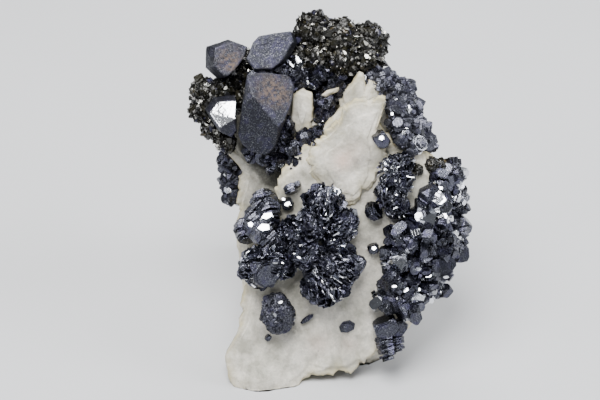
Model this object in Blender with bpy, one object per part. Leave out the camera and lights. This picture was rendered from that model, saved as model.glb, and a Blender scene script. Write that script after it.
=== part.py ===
"""Galena with sphalerite on bladed calcite: a standing cabinet specimen at its real size.

A white calcite blade leans back on its foot, with a massive part and more blades behind it. Four big
galena crystals and a crown of sphalerite stand at the top, a leafy rosette of galena in the middle, and
a crust of galena covers the right flank, which turns back from the blade.

Sizes are in millimetres. Most pieces are placed along the front blade's own axes: x to the right,
y up the blade and z out of its face. The pieces behind are placed from the base: x to the right,
y to the back and z up.
"""

import math

import bmesh
import bpy
import numpy as np
from mathutils import Matrix, Vector

MM = 0.001

# Placing
LEAN_BACK = math.radians(28.0)
BASE_MIDDLE = (2.0, 26.0)
SEAM = 0.3
GROUND_DEPTH = 30.0
GROUND_WIDTH = 200.0
FLAT = math.radians(1.2)
MERGE = 0.000001

# Shares of a crystal's size
CUBE_SIDE = 1.6
LEAF_TAPER = 0.86
TETRAHEDRON_BASE = 1.3
TETRAHEDRON_TIP = 0.35
TETRAHEDRON_HEIGHT = 1.5
CORNER_GROWTH = 1.3

# How the members of a cluster sit: shares of a lump's radius, and the pull towards the open side
CRYSTAL_HEART = 0.8
SEAT = 0.92
CLEARANCE = 0.95
OUTWARD_PULL = 0.3
THIN_CRYSTAL = 0.3
PAIR_HEART = 0.78

# Colour, roughness and metallic value of each mineral
CALCITE = ("Calcite", (0.80, 0.78, 0.72), 0.55, 0.0)
GALENA_MATT = ("Matt Galena", (0.10, 0.11, 0.14), 0.50, 0.7)
GALENA_BRIGHT = ("Bright Galena", (0.16, 0.17, 0.22), 0.28, 0.85)
SPHALERITE = ("Sphalerite", (0.035, 0.028, 0.020), 0.25, 0.2)

# A blade's rows, from the middle of the front over the rim to the middle of the back:
# share of the way out to the rim, and share of the thickness
BLADE_ROWS = ((0.45, 0.0), (0.82, 0.0), (0.97, 0.15), (1.0, 0.5), (0.96, 0.9), (0.55, 1.0))
PLAIN_BLADE_ROWS = ((0.55, 0.0), (0.97, 0.1), (1.0, 0.6), (0.6, 1.0))

# The slow wave of a blade's face: height, and radians to a millimetre across and along
WAVE_HEIGHT = 0.35
WAVE_ACROSS = 0.31
WAVE_ALONG = 0.23

# Calcite blades: the outline runs round its middle, and a swell is x, y, radius and height
BLADES = {
    "front": {
        "outline": (
            (-28.5, 8.0), (-28.0, 3.5), (-25.0, -2.0), (-17.5, -4.0), (-9.0, -2.5), (-6.0, 1.5),
            (-1.0, 2.0), (5.0, 3.0), (12.5, 8.0), (16.5, 11.0), (20.5, 17.0), (25.0, 24.0),
            (28.5, 33.5), (30.0, 44.5), (30.0, 54.0), (29.0, 60.0), (27.0, 65.0), (21.0, 66.5),
            (15.5, 69.5), (13.5, 72.5), (15.0, 78.5), (4.5, 77.0), (-0.5, 71.5), (-5.0, 67.0),
            (-9.0, 64.0), (-11.5, 60.5), (-14.0, 56.5), (-15.0, 52.5), (-15.5, 47.0), (-17.0, 41.5),
            (-19.5, 36.0), (-23.5, 27.0), (-23.5, 22.5), (-25.0, 14.5),
        ),
        "middle": (-1.0, 37.0),
        "thickness": 5.0,
        "swells": (
            (-21.0, 5.0, 8.0, 1.8), (-6.0, 11.0, 5.0, 0.9), (6.0, 22.0, 9.0, 0.7),
            (16.0, 12.0, 4.0, -0.8), (-12.0, 17.0, 6.0, -0.5),
        ),
    },
    "upper": {
        "outline": (
            (4.0, 77.5), (8.0, 79.0), (12.0, 78.7), (15.0, 79.0), (14.5, 77.0), (13.5, 71.5),
            (15.0, 67.5), (15.5, 62.0), (12.5, 55.5), (7.0, 50.0), (1.5, 48.0), (-3.0, 53.5),
            (-5.5, 59.0), (-5.5, 63.5), (-4.5, 65.5), (-2.0, 69.0), (0.0, 71.0), (2.5, 74.0),
        ),
        "middle": (5.5, 63.0),
        "thickness": 3.0,
        "at": (0.0, 0.0, 1.0),
        "slope": (0.0, 0.075, 63.0),
    },
    "left": {
        "outline": (
            (-34.0, 72.0), (-31.5, 67.5), (-27.0, 64.5), (-25.0, 62.5), (-24.0, 58.0),
            (-25.0, 50.0), (-25.5, 42.0), (-25.0, 33.0), (-23.5, 25.0), (-19.0, 19.0),
            (-6.0, 22.0), (-1.0, 40.0), (-3.0, 60.0), (-6.0, 76.0), (-12.0, 80.0), (-20.0, 79.0),
            (-28.0, 77.0), (-33.0, 76.0),
        ),
        "middle": (-16.0, 54.0),
        "thickness": 5.0,
        "at": (0.0, 0.0, -9.0),
    },
    "top": {
        "outline": (
            (3.0, 78.5), (5.5, 81.0), (8.0, 83.0), (10.5, 84.5), (11.5, 82.0), (12.5, 78.0),
            (13.0, 60.0), (2.0, 60.0),
        ),
        "middle": (8.0, 72.0),
        "thickness": 4.0,
        "at": (0.0, 0.0, -5.5),
    },
    "hollow": {
        "outline": (
            (-9.5, 80.0), (-3.0, 81.0), (-1.5, 76.0), (-2.0, 66.0), (-4.0, 58.0), (-11.0, 60.0),
            (-10.0, 72.0),
        ),
        "middle": (-6.0, 70.0),
        "thickness": 5.0,
        "at": (0.0, 0.0, -8.0),
    },
    "upper right": {
        "outline": (
            (8.0, 58.0), (27.0, 55.0), (27.5, 66.0), (25.0, 73.0), (22.0, 79.0), (17.0, 82.0),
            (11.0, 83.0), (6.0, 78.0),
        ),
        "middle": (16.0, 69.0),
        "thickness": 7.0,
        "at": (0.0, 0.0, -5.0),
    },
    "right flank": {
        "outline": (
            (-2.0, 12.0), (6.0, 16.0), (13.0, 26.0), (18.5, 36.0), (20.0, 46.0), (19.0, 56.0),
            (13.0, 62.0), (2.0, 64.0), (-2.5, 50.0), (-2.5, 24.0),
        ),
        "middle": (6.0, 38.0),
        "thickness": 6.0,
        "at": (20.0, 0.0, -3.6),
        "turn": (0.0, 46.0, 0.0),
    },
    "back": {
        "outline": (
            (-21.0, -4.0), (15.0, -5.0), (17.0, 12.0), (21.0, 26.0), (16.0, 44.0), (8.0, 60.0),
            (-3.0, 66.0), (-13.0, 57.0), (-24.0, 46.0), (-22.0, 24.0),
        ),
        "middle": (-2.0, 28.0),
        "thickness": 5.0,
        "swells": ((6.0, 10.0, 9.0, 1.6), (-12.0, 34.0, 8.0, 1.4), (8.0, 40.0, 7.0, -1.2)),
        "at": (2.0, 53.0, 0.0),
        "turn": (86.0, 0.0, 172.0),
        "from_base": True,
    },
    "back fin": {
        "outline": (
            (-18.0, -4.0), (13.0, -4.0), (16.0, 14.0), (12.0, 30.0), (15.0, 42.0), (4.0, 54.0),
            (-10.0, 58.0), (-18.0, 40.0),
        ),
        "middle": (-2.0, 24.0),
        "thickness": 4.5,
        "at": (13.0, 40.0, 0.0),
        "turn": (93.0, 0.0, 118.0),
        "from_base": True,
    },
    "left fin": {
        "outline": (
            (-16.0, -4.0), (14.0, -4.0), (17.0, 20.0), (13.0, 34.0), (9.0, 50.0), (-8.0, 56.0),
            (-16.0, 30.0),
        ),
        "middle": (0.0, 24.0),
        "thickness": 4.5,
        "at": (-15.0, 36.0, 0.0),
        "turn": (88.0, 0.0, 234.0),
        "from_base": True,
    },
    "low rib": {
        "outline": (
            (-12.0, -3.0), (6.0, 0.0), (9.0, 9.0), (6.0, 20.0), (-1.0, 27.0), (-10.0, 24.0),
            (-13.0, 10.0),
        ),
        "middle": (-3.0, 12.0),
        "thickness": 3.5,
        "at": (-4.0, 53.0, 2.0),
        "turn": (78.0, 14.0, 100.0),
        "from_base": True,
    },
    "high rib": {
        "outline": (
            (-10.0, -8.0), (5.0, -9.0), (8.0, 0.0), (6.0, 10.0), (-2.0, 15.0), (-9.0, 9.0),
        ),
        "middle": (-1.0, 1.0),
        "thickness": 3.5,
        "at": (4.0, 52.0, 38.0),
        "turn": (62.0, -20.0, 140.0),
        "from_base": True,
    },
}

# The massive calcite behind the blades: height, then the lowest and highest x and y of each section
CORE_SECTIONS = (
    (-6.0, -17.0, 17.0, 8.0, 46.0),
    (8.0, -18.0, 21.0, 11.0, 47.0),
    (24.0, -19.0, 24.0, 18.0, 50.0),
    (40.0, -18.0, 25.0, 25.5, 51.0),
    (52.0, -14.0, 22.0, 33.0, 51.0),
    (60.0, -8.0, 17.0, 39.5, 50.0),
)
CORE_COLUMNS = 18
CORE_SQUARENESS = 3.0
CORE_ROUGHNESS = 0.05
CORE_BOTTOM_POINT = 1.0
CORE_TOP_POINT = 2.0

# Big galena crystals. Each is the solid between the corners of its front faces and a smaller outline
# behind. A face is its middle x, y and z, how much z rises along x and along y, and its corners
BLOCKS = {
    "galena_block_front": {
        "faces": (
            ((-17.2, 75.0, 4.5), (-0.50, -0.42), (
                (-20.7, 79.1), (-22.6, 82.0), (-21.8, 84.8), (-17.0, 85.2), (-10.5, 84.0),
                (-9.2, 81.5), (-9.8, 78.0), (-11.6, 73.7), (-13.7, 71.0))),
            ((-17.2, 75.0, 4.5), (0.34, 0.30), (
                (-20.7, 79.1), (-13.7, 71.0), (-14.5, 65.5), (-17.0, 63.4), (-21.2, 64.2),
                (-23.8, 66.5), (-24.6, 69.2), (-23.0, 74.5))),
        ),
        "behind": (-17.0, 75.5, -8.5, 0.80),
    },
    "galena_block_top": {
        "faces": (
            ((-16.0, 90.0, -5.5), (-0.10, -0.30), (
                (-22.4, 89.0), (-20.8, 93.0), (-19.0, 95.0), (-10.5, 96.3), (-9.6, 93.5),
                (-12.4, 88.6), (-15.4, 86.2), (-20.2, 86.0))),
        ),
        "behind": (-15.5, 90.5, -18.5, 0.86),
        "waist": (-15.7, 90.0, -9.5, 1.06),
    },
    "galena_block_left": {
        "faces": (
            ((-27.5, 88.5, -4.5), (-0.15, -0.25), (
                (-31.6, 92.1), (-26.4, 93.8), (-22.9, 92.4), (-23.8, 89.7), (-25.4, 87.2),
                (-27.6, 84.8), (-29.0, 84.6), (-31.8, 87.2))),
        ),
        "behind": (-27.8, 88.3, -16.0, 0.80),
        "waist": (-28.3, 88.4, -8.5, 1.16),
    },
    "galena_block_mirror": {
        "faces": (
            ((-28.5, 74.5, 0.5), (0.20, -0.42), (
                (-32.2, 74.6), (-30.0, 77.6), (-24.9, 78.0), (-25.2, 73.2), (-29.2, 70.8))),
            ((-27.0, 71.3, 1.7), (0.05, 0.55), (
                (-25.2, 73.2), (-29.2, 70.8), (-29.0, 69.4), (-26.2, 68.0), (-24.9, 70.0))),
        ),
        "behind": (-28.5, 73.2, -9.0, 0.85),
        "waist": (-28.5, 73.2, -3.5, 1.10),
    },
}

# Clusters: lumps are x, y, z and radius, and crystals sit on them
LEAFY_LOBES = (
    (-1.5, 50.5, 3.0, 5.2, 80.0), (3.5, 45.0, 3.5, 4.5, 20.0), (-4.5, 45.0, 4.5, 4.8, 125.0),
    (-10.0, 42.5, 4.0, 4.4, 150.0), (-6.5, 37.5, 5.0, 4.4, 20.0), (-13.5, 35.0, 4.0, 4.8, 165.0),
    (-19.0, 33.0, 2.0, 5.2, 200.0), (1.5, 39.5, 3.5, 3.6, 10.0), (2.0, 33.5, 4.5, 6.2, -30.0),
    (-1.0, 29.0, 4.0, 6.0, -70.0),
)
LEAVES = 2
LEAF_FAN = math.radians(24.0)
LEAF_THICKNESS = 0.42
LEAF_SPACING = 0.5
LEAF_SIZE = (0.86, 1.05)
LEAF_JITTER = 0.1
LOBE_SINK = 0.3
LOBE_HEART = 0.8

CLUSTERS = {
    "sphalerite_crown": {
        "lumps": (
            (-4.0, 94.0, -13.5, 5.0), (3.0, 93.5, -13.0, 6.0), (10.5, 92.5, -13.5, 5.6),
            (-3.0, 89.0, -12.0, 4.6), (4.0, 88.0, -11.0, 5.0), (10.5, 88.5, -12.0, 4.8),
            (3.0, 92.0, -19.5, 6.0), (10.0, 91.5, -19.0, 5.0),
        ),
        "crystals": 3, "size": (1.5, 2.5), "shape": "tetrahedron", "seed": 11,
        "outward": (0.0, 1.0, 0.6), "mineral": SPHALERITE,
    },
    "sphalerite_collar": {
        "lumps": (
            (-30.5, 77.5, -10.5, 5.5), (-34.0, 79.5, -9.5, 3.8), (-34.0, 74.5, -8.5, 3.6),
            (-28.5, 67.5, -7.5, 3.2), (-26.5, 81.5, -12.0, 4.0), (-24.0, 78.0, -11.5, 4.0),
            (-31.5, 70.0, -9.5, 3.2),
        ),
        "crystals": 2, "size": (1.3, 2.2), "shape": "tetrahedron", "seed": 12,
        "outward": (-0.8, 0.1, 0.8), "mineral": SPHALERITE,
    },
    "galena_druse_inner": {
        "lumps": (
            (-6.0, 82.0, -15.0, 5.0), (0.0, 79.0, -15.5, 5.0), (0.5, 74.0, -12.5, 3.2),
            (-0.5, 70.0, -9.5, 2.6), (-4.5, 66.0, -8.5, 2.8), (-8.5, 63.5, -7.5, 2.8),
            (-12.0, 61.0, -7.0, 2.8), (-11.5, 66.5, -9.0, 3.0), (-10.5, 75.5, -14.0, 3.6),
            (-13.0, 82.5, -17.0, 5.0), (-5.0, 76.0, -18.0, 5.5), (5.0, 81.0, -16.0, 5.0),
            (-9.5, 69.5, -12.5, 3.4),
        ),
        "crystals": 1, "size": (1.3, 2.1), "shape": "cube", "seed": 13,
        "mineral": GALENA_BRIGHT,
    },
    "galena_cluster_left_back": {
        "lumps": ((-27.0, 60.0, -14.5, 3.2), (-26.5, 55.0, -15.5, 3.4), (-26.0, 50.5, -14.5, 2.6)),
        "crystals": 1, "size": (1.4, 2.1), "shape": "cube", "seed": 14,
        "outward": (-1.0, 0.0, 0.0), "mineral": GALENA_MATT,
    },
    "galena_shoulder": {
        "lumps": (
            (16.0, 60.0, 2.0, 3.4), (18.5, 56.5, 2.6, 3.8), (16.0, 53.0, 2.4, 3.6),
            (18.5, 49.5, 2.0, 3.0), (19.5, 61.0, 1.6, 3.0),
        ),
        "crystals": 1, "size": (1.5, 2.3), "shape": "cube", "seed": 15,
        "mineral": GALENA_BRIGHT,
    },
    "galena_crust_upper_right": {
        "lumps": (
            (15.5, 82.0, -6.0, 3.2), (20.0, 80.0, -6.5, 3.4), (16.5, 76.5, -2.5, 3.2),
            (21.5, 75.5, -4.5, 3.6), (19.0, 71.0, -1.0, 3.0), (24.0, 70.0, -3.5, 3.4),
            (17.5, 67.0, 1.0, 2.4), (22.5, 66.0, 0.0, 2.8), (26.5, 66.0, -3.0, 2.6),
        ),
        "crystals": 1, "size": (1.3, 2.1), "shape": "cube", "seed": 16,
        "outward": (0.5, 0.3, 1.0), "mineral": GALENA_MATT,
    },
    "galena_crust_flank": {
        "lumps": (
            (27.5, 57.5, -2.5, 3.2), (32.5, 56.5, -7.0, 3.8), (28.0, 51.5, -1.5, 3.6),
            (33.5, 50.0, -8.5, 3.8), (23.0, 46.0, 1.0, 3.4), (28.5, 45.5, -2.0, 3.8),
            (33.5, 43.5, -9.0, 3.6), (18.5, 41.0, 1.6, 3.0), (25.0, 39.5, 0.5, 3.8),
            (31.0, 38.0, -6.0, 3.8), (17.5, 36.0, 1.8, 3.2), (25.0, 33.0, 0.0, 3.8),
            (30.0, 32.0, -6.0, 3.4), (17.5, 29.0, 1.8, 3.6), (25.5, 27.5, -2.0, 3.6),
            (16.0, 23.5, 1.5, 3.0), (21.0, 22.5, 0.0, 3.2), (29.0, 26.0, -6.5, 2.6),
            (35.0, 37.5, -12.0, 3.0),
        ),
        "crystals": 1, "size": (1.6, 2.7), "shape": "cube", "seed": 17,
        "outward": (0.6, 0.0, 1.0), "mineral": GALENA_BRIGHT,
    },
    "galena_foot_crystal": {
        "lumps": ((16.0, 17.5, 1.8, 4.0), (17.0, 13.5, 1.0, 3.2), (19.5, 16.5, 0.0, 3.2)),
        "crystals": 0, "size": (1.4, 2.2), "shape": "leaf", "seed": 18,
        "mineral": GALENA_BRIGHT,
    },
    "galena_cluster_back_low": {
        "lumps": ((10.0, 55.0, 18.0, 4.5), (4.0, 56.0, 23.0, 4.0), (14.0, 53.0, 25.0, 4.0)),
        "crystals": 1, "size": (2.0, 3.2), "shape": "cube", "seed": 19,
        "outward": (0.0, 1.0, 0.0), "mineral": GALENA_MATT, "from_base": True,
    },
    "galena_cluster_back_high": {
        "lumps": ((-6.0, 54.0, 50.0, 4.2), (-10.0, 52.0, 56.0, 4.4), (-3.0, 52.0, 58.0, 4.0)),
        "crystals": 1, "size": (1.8, 3.0), "shape": "cube", "seed": 20,
        "outward": (-0.2, 1.0, 0.2), "mineral": GALENA_MATT, "from_base": True,
    },
    "sphalerite_patch_back": {
        "lumps": ((13.0, 53.0, 48.0, 4.0), (8.0, 54.0, 53.0, 3.8), (16.0, 50.0, 55.0, 3.8)),
        "crystals": 2, "size": (1.3, 2.2), "shape": "tetrahedron", "seed": 21,
        "outward": (0.3, 1.0, 0.2), "mineral": SPHALERITE, "from_base": True,
    },
}

# Single small crystals on the front blade: place, radius, shape, flattening across the face, turn
SINGLES = {
    "galena_skeletal_small": ((-10.3, 54.3, 1.2), 2.5, "leaf", 0.5, 40.0, GALENA_BRIGHT),
    "galena_grain_bright": ((-11.3, 50.0, 1.0), 1.5, "cuboctahedron", 1.0, 15.0, GALENA_BRIGHT),
    "galena_leafy_small": ((12.0, 48.3, 1.6), 3.6, "leaf", 0.6, 75.0, GALENA_BRIGHT),
    "galena_cube_small": ((12.0, 38.0, 0.9), 2.1, "cuboctahedron", 1.0, 20.0, GALENA_BRIGHT),
    "galena_bright_upper": ((13.8, 67.6, 3.0), 2.6, "cuboctahedron", 0.8, 35.0, GALENA_BRIGHT),
    "galena_chip_left": ((-6.0, 18.5, 1.0), 1.9, "leaf", 0.35, 30.0, GALENA_MATT),
    "galena_chip_right": ((4.8, 16.5, 0.8), 2.3, "leaf", 0.5, 10.0, GALENA_MATT),
    "galena_grain_low": ((-16.5, 13.5, 0.6), 1.1, "cuboctahedron", 0.8, 50.0, GALENA_BRIGHT),
}
SPHALERITE_BEAD = ((24.0, 59.5, 1.0, 1.5),)
SPHALERITE_PATCH = ((27.5, 60.5, -1.0, 2.2), (30.0, 60.0, -3.5, 2.2))
BARREL = ((-14.2, 21.3, 3.4), 5.3, (1.0, 1.22, 0.95), 12.0)
PAIR_LEFT = ((-17.0, 49.5, 1.5, 4.6, 20.0), (-18.0, 44.3, 1.6, 5.4, 50.0), (-22.5, 42.5, -2.0, 3.4, 10.0))
PAIR_ROOT = (-19.0, 45.5, -5.0, 4.6)
ROSETTE_KNOB = ((8.0, 34.7, 4.8), 2.3)


def empty_scene():
    for thing in list(bpy.data.objects):
        bpy.data.objects.remove(thing, do_unlink=True)


def new_collection(name):
    """A collection in the scene, made anew."""
    collection = bpy.data.collections.new(name)
    bpy.context.scene.collection.children.link(collection)
    return collection


def new_empty(name, parent=None):
    empty = bpy.data.objects.new(name, None)
    empty.parent = parent
    PARTS.objects.link(empty)
    return empty


def material_for(mineral):
    """The mineral's Principled material, made once."""
    name, colour, roughness, metallic = mineral
    found = bpy.data.materials.get(name)
    if found:
        return found
    made = bpy.data.materials.new(name)
    made.use_nodes = True
    made.diffuse_color = (*colour, 1.0)
    shader = made.node_tree.nodes["Principled BSDF"]
    shader.inputs["Base Color"].default_value = (*colour, 1.0)
    shader.inputs["Roughness"].default_value = roughness
    shader.inputs["Metallic"].default_value = metallic
    return made


def solid_object(name, bm, parent, collection):
    """An object from a closed bmesh that is in millimetres, with its faces turned outwards."""
    bmesh.ops.triangulate(bm, faces=bm.faces[:])
    bmesh.ops.recalc_face_normals(bm, faces=bm.faces[:])
    bmesh.ops.scale(bm, vec=(MM, MM, MM), verts=bm.verts[:])
    mesh = bpy.data.meshes.new(name)
    bm.to_mesh(mesh)
    bm.free()
    thing = bpy.data.objects.new(name, mesh)
    thing.parent = parent
    collection.objects.link(thing)
    return thing


def face_height(blade, x, y):
    """The front face's height: a slow wave, the blade's slope up its length, and its swells."""
    height = WAVE_HEIGHT * np.sin(x * WAVE_ACROSS + 0.8) * np.cos(y * WAVE_ALONG - 0.4)
    across, along, level = blade.get("slope", (0.0, 0.0, 0.0))
    height = height + across * x + along * (y - level)
    for swell_x, swell_y, radius, rise in blade.get("swells", ()):
        away = ((x - swell_x) ** 2 + (y - swell_y) ** 2) / radius**2
        height = height + rise * np.exp(-away)
    return height


def ring_mesh(bm, rings, first_point, last_point):
    """Rings of points joined by quads, with a fan to a point at each end."""
    columns = len(rings[0])
    rows = [[bm.verts.new(point) for point in ring] for ring in rings]
    first, last = bm.verts.new(first_point), bm.verts.new(last_point)
    for column in range(columns):
        beside = (column + 1) % columns
        bm.faces.new((first, rows[0][column], rows[0][beside]))
        bm.faces.new((last, rows[-1][beside], rows[-1][column]))
        for inner, outer in zip(rows[:-1], rows[1:]):
            bm.faces.new((inner[column], outer[column], outer[beside], inner[beside]))


def blade_bmesh(name, grow):
    """A blade: rows of points from the middle of its face, over its rim, to the middle of its back."""
    blade = BLADES[name]
    middle = np.array(blade["middle"])
    spokes = np.array(blade["outline"]) - middle
    reach = np.hypot(spokes[:, 0], spokes[:, 1])
    bearing = np.arctan2(spokes[:, 1], spokes[:, 0])
    order = np.argsort(bearing)
    reach, bearing = reach[order] + grow, bearing[order]
    rings = []
    for out, deep in BLADE_ROWS if "swells" in blade else PLAIN_BLADE_ROWS:
        x = middle[0] + out * reach * np.cos(bearing)
        y = middle[1] + out * reach * np.sin(bearing)
        top = (face_height(blade, x, y) + grow) * (1.0 - deep)
        z = top - (blade["thickness"] + grow) * deep
        rings.append(np.stack((x, y, z), axis=1).tolist())
    front_z = float(face_height(blade, *middle)) + grow
    bm = bmesh.new()
    ring_mesh(bm, rings, (*middle, front_z), (*middle, -blade["thickness"] - grow))
    return bm


def blade_object(name, collection, grow=0.0):
    """The blade in its place, on the lean of the front blade or straight on the base."""
    blade = BLADES[name]
    parent = BASE if blade.get("from_base") else LEAN
    thing = solid_object("Blade " + name, blade_bmesh(name, grow), parent, collection)
    thing.location = Vector(blade.get("at", (0.0, 0.0, 0.0))) * MM
    thing.rotation_euler = [math.radians(turn) for turn in blade.get("turn", (0.0, 0.0, 0.0))]
    return thing


def core_object(collection, grow=0.0):
    """The massive calcite: rounded rectangular sections one above another, with a rough skin."""
    rough = np.random.default_rng(5)
    angles = np.linspace(0.0, 2.0 * math.pi, CORE_COLUMNS, endpoint=False)
    corner = (np.abs(np.cos(angles)) ** CORE_SQUARENESS
              + np.abs(np.sin(angles)) ** CORE_SQUARENESS) ** (-1.0 / CORE_SQUARENESS)
    rings = []
    for height, low_x, high_x, low_y, high_y in CORE_SECTIONS:
        skin = corner * (1.0 + rough.uniform(-CORE_ROUGHNESS, CORE_ROUGHNESS, CORE_COLUMNS))
        x = (low_x + high_x) / 2 + ((high_x - low_x) / 2 + grow) * skin * np.cos(angles)
        y = (low_y + high_y) / 2 + ((high_y - low_y) / 2 + grow) * skin * np.sin(angles)
        rings.append(np.stack((x, y, np.full(CORE_COLUMNS, height)), axis=1).tolist())
    bottom, top = CORE_SECTIONS[0], CORE_SECTIONS[-1]
    bm = bmesh.new()
    ring_mesh(bm, rings,
              ((bottom[1] + bottom[2]) / 2, (bottom[3] + bottom[4]) / 2, bottom[0] - CORE_BOTTOM_POINT),
              ((top[1] + top[2]) / 2, (top[3] + top[4]) / 2, top[0] + CORE_TOP_POINT + grow))
    return solid_object("Calcite Core", bm, BASE, collection)


def block_object(name, collection, grow=0.0):
    """A big galena crystal: the hull of its front faces' corners, its waist and the outline behind."""
    block = BLOCKS[name]
    corners = []
    for (mid_x, mid_y, mid_z), (rise_x, rise_y), outline in block["faces"]:
        corners += [Vector((x, y, mid_z + rise_x * (x - mid_x) + rise_y * (y - mid_y)))
                    for x, y in outline]
    middle = sum(corners, Vector()) / len(corners)
    points = list(corners)
    for ring in ("waist", "behind"):
        if ring in block:
            ring_x, ring_y, ring_z, share = block[ring]
            points += [Vector((ring_x + share * (corner.x - middle.x),
                               ring_y + share * (corner.y - middle.y), ring_z)) for corner in corners]
    heart = sum(points, Vector()) / len(points)
    bm = bmesh.new()
    for point in points:
        bm.verts.new(point + (point - heart).normalized() * grow * CORNER_GROWTH)
    hull = bmesh.ops.convex_hull(bm, input=bm.verts[:])
    inner = [item for item in hull["geom_interior"] if isinstance(item, bmesh.types.BMVert)]
    bmesh.ops.delete(bm, geom=inner, context="VERTS")
    return solid_object("Block", bm, LEAN, collection)


def add_shape(bm, shape, size, flat):
    """One small crystal or lump about the origin, into an empty bmesh."""
    if shape == "lump":
        bmesh.ops.create_icosphere(bm, subdivisions=1, radius=size)
    elif shape == "cube":
        bmesh.ops.create_cube(bm, size=CUBE_SIDE * size)
    elif shape == "leaf":
        bmesh.ops.create_cone(bm, cap_ends=True, segments=6, radius1=size, radius2=size * LEAF_TAPER,
                              depth=2.0 * size * flat)
    elif shape == "tetrahedron":
        bmesh.ops.create_cone(bm, cap_ends=True, segments=3, radius1=size * TETRAHEDRON_BASE,
                              radius2=size * TETRAHEDRON_TIP, depth=size * TETRAHEDRON_HEIGHT)
    else:
        for one in (-size, size):
            for other in (-size, size):
                bm.verts.new((one, other, 0.0))
                bm.verts.new((one, 0.0, other))
                bm.verts.new((0.0, one, other))
        hull = bmesh.ops.convex_hull(bm, input=bm.verts[:])
        assert not hull["geom_unused"]


def member_object(member, parent, collection, grow=0.0):
    """One member of a cluster: shape, place, size, turn and flattening."""
    shape, place, size, turn, flat = member
    bm = bmesh.new()
    add_shape(bm, shape, size + grow, flat)
    bmesh.ops.transform(bm, matrix=Matrix.Translation(place) @ turn.to_4x4(), verts=bm.verts[:])
    return solid_object("Member", bm, parent, collection)


def random_turn(draw):
    """A turn with no preferred direction, from three random numbers."""
    spin = Matrix.Rotation(draw.uniform(0.0, 2.0 * math.pi), 3, "Z")
    tilt = Matrix.Rotation(math.acos(draw.uniform(-1.0, 1.0)), 3, "X")
    return spin @ tilt @ Matrix.Rotation(draw.uniform(0.0, 2.0 * math.pi), 3, "Z")


def cluster_members(name):
    """The cluster's lumps, with crystals seated on them at random, left out inside a neighbour."""
    cluster = CLUSTERS[name]
    draw = np.random.default_rng(cluster["seed"])
    lumps = [(Vector(lump[:3]), lump[3]) for lump in cluster["lumps"]]
    heart, share = ("lump", 1.0) if cluster["mineral"] is SPHALERITE else ("cuboctahedron", CRYSTAL_HEART)
    members = [(heart, middle, radius * share, random_turn(draw), 1.0) for middle, radius in lumps]
    count = cluster["crystals"]
    outward = Vector(cluster.get("outward", (0.0, -0.2, 1.0))).normalized()
    for middle, radius in lumps:
        for _ in range(count):
            way = random_turn(draw) @ Vector((0.0, 0.0, 1.0))
            way = (way if way.dot(outward) > 0.0 else -way) + outward * OUTWARD_PULL
            place = middle + way.normalized() * radius * SEAT
            size = draw.uniform(*cluster["size"])
            turn = random_turn(draw)
            if all((place - other).length > CLEARANCE * reach for other, reach in lumps if other != middle):
                members.append((cluster["shape"], place, size, turn, THIN_CRYSTAL))
    return members


def rosette_members():
    """Leafy lobes: each is a lump with a fan of thin leaves that opens away from the blade."""
    draw = np.random.default_rng(31)
    members = []
    for x, y, z, radius, bearing in LEAFY_LOBES:
        middle = Vector((x, y, z))
        spine = Matrix.Rotation(math.radians(bearing), 3, "Z") @ Vector((1.0, 0.0, 0.0))
        members.append(("cube", middle - Vector((0.0, 0.0, LOBE_SINK * radius)), radius * LOBE_HEART,
                        random_turn(draw), 1.0))
        across = Vector((0.0, 0.0, 1.0)).cross(spine)
        for leaf in range(LEAVES):
            opening = (leaf - (LEAVES - 1) / 2) * LEAF_FAN + draw.uniform(-LEAF_JITTER, LEAF_JITTER)
            normal = Matrix.Rotation(opening, 3, spine) @ across
            sideways = Matrix.Rotation(opening, 3, spine) @ Vector((0.0, 0.0, 1.0))
            lean = Matrix((sideways, normal.cross(sideways), normal)).transposed()
            place = middle + normal * (leaf - (LEAVES - 1) / 2) * radius * LEAF_SPACING
            size = radius * draw.uniform(*LEAF_SIZE)
            members.append(("leaf", place, size, lean, LEAF_THICKNESS / 2))
    middle, size = ROSETTE_KNOB
    members.append(("lump", Vector(middle), size, random_turn(draw), 1.0))
    return members


def barrel_members():
    middle, size, stretch, turn = BARREL
    spin = Matrix.Rotation(math.radians(turn), 3, "Z") @ Matrix.Diagonal(stretch)
    return [("lump", Vector(middle), size, spin, 1.0)]


def pair_members():
    """Two grown-together crystals over the front blade's left rim, and the root behind them."""
    members = [("cuboctahedron", Vector((x, y, z)), size * PAIR_HEART,
                Matrix.Rotation(math.radians(turn), 3, (0.3, 0.8, 0.5)), 1.0)
               for x, y, z, size, turn in PAIR_LEFT]
    return members + lumps_of((PAIR_ROOT,))


def lumps_of(places):
    draw = np.random.default_rng(41)
    return [("lump", Vector(place[:3]), place[3], random_turn(draw), 1.0) for place in places]


def single_members(name):
    middle, size, shape, flat, turn, _ = SINGLES[name]
    spin = Matrix.Rotation(math.radians(turn), 3, (0.2, 0.9, 0.4))
    return [(shape, Vector(middle), size, spin, flat)]


def body_volume(faces):
    return abs(sum(face.calc_center_median().dot(face.normal) * face.calc_area() for face in faces))


def keep_one_body(bm):
    """Drop the crumbs that a cut leaves beside the main body."""
    bodies = []
    waiting = set(bm.faces)
    while waiting:
        body = {waiting.pop()}
        edge_of_search = list(body)
        while edge_of_search:
            face = edge_of_search.pop()
            for edge in face.edges:
                for beside in edge.link_faces:
                    if beside in waiting:
                        waiting.remove(beside)
                        body.add(beside)
                        edge_of_search.append(beside)
        bodies.append(body)
    largest = max(bodies, key=body_volume)
    crumbs = [face for face in bm.faces if face not in largest]
    bmesh.ops.delete(bm, geom=crumbs, context="FACES")


def box_of(thing):
    """The lowest and highest corner of an object in the world."""
    corners = np.array([thing.matrix_world @ Vector(corner) for corner in thing.bound_box])
    return corners.min(axis=0), corners.max(axis=0)


def boxes_meet(one, other):
    return bool(np.all(one[0] <= other[1]) and np.all(other[0] <= one[1]))


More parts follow.
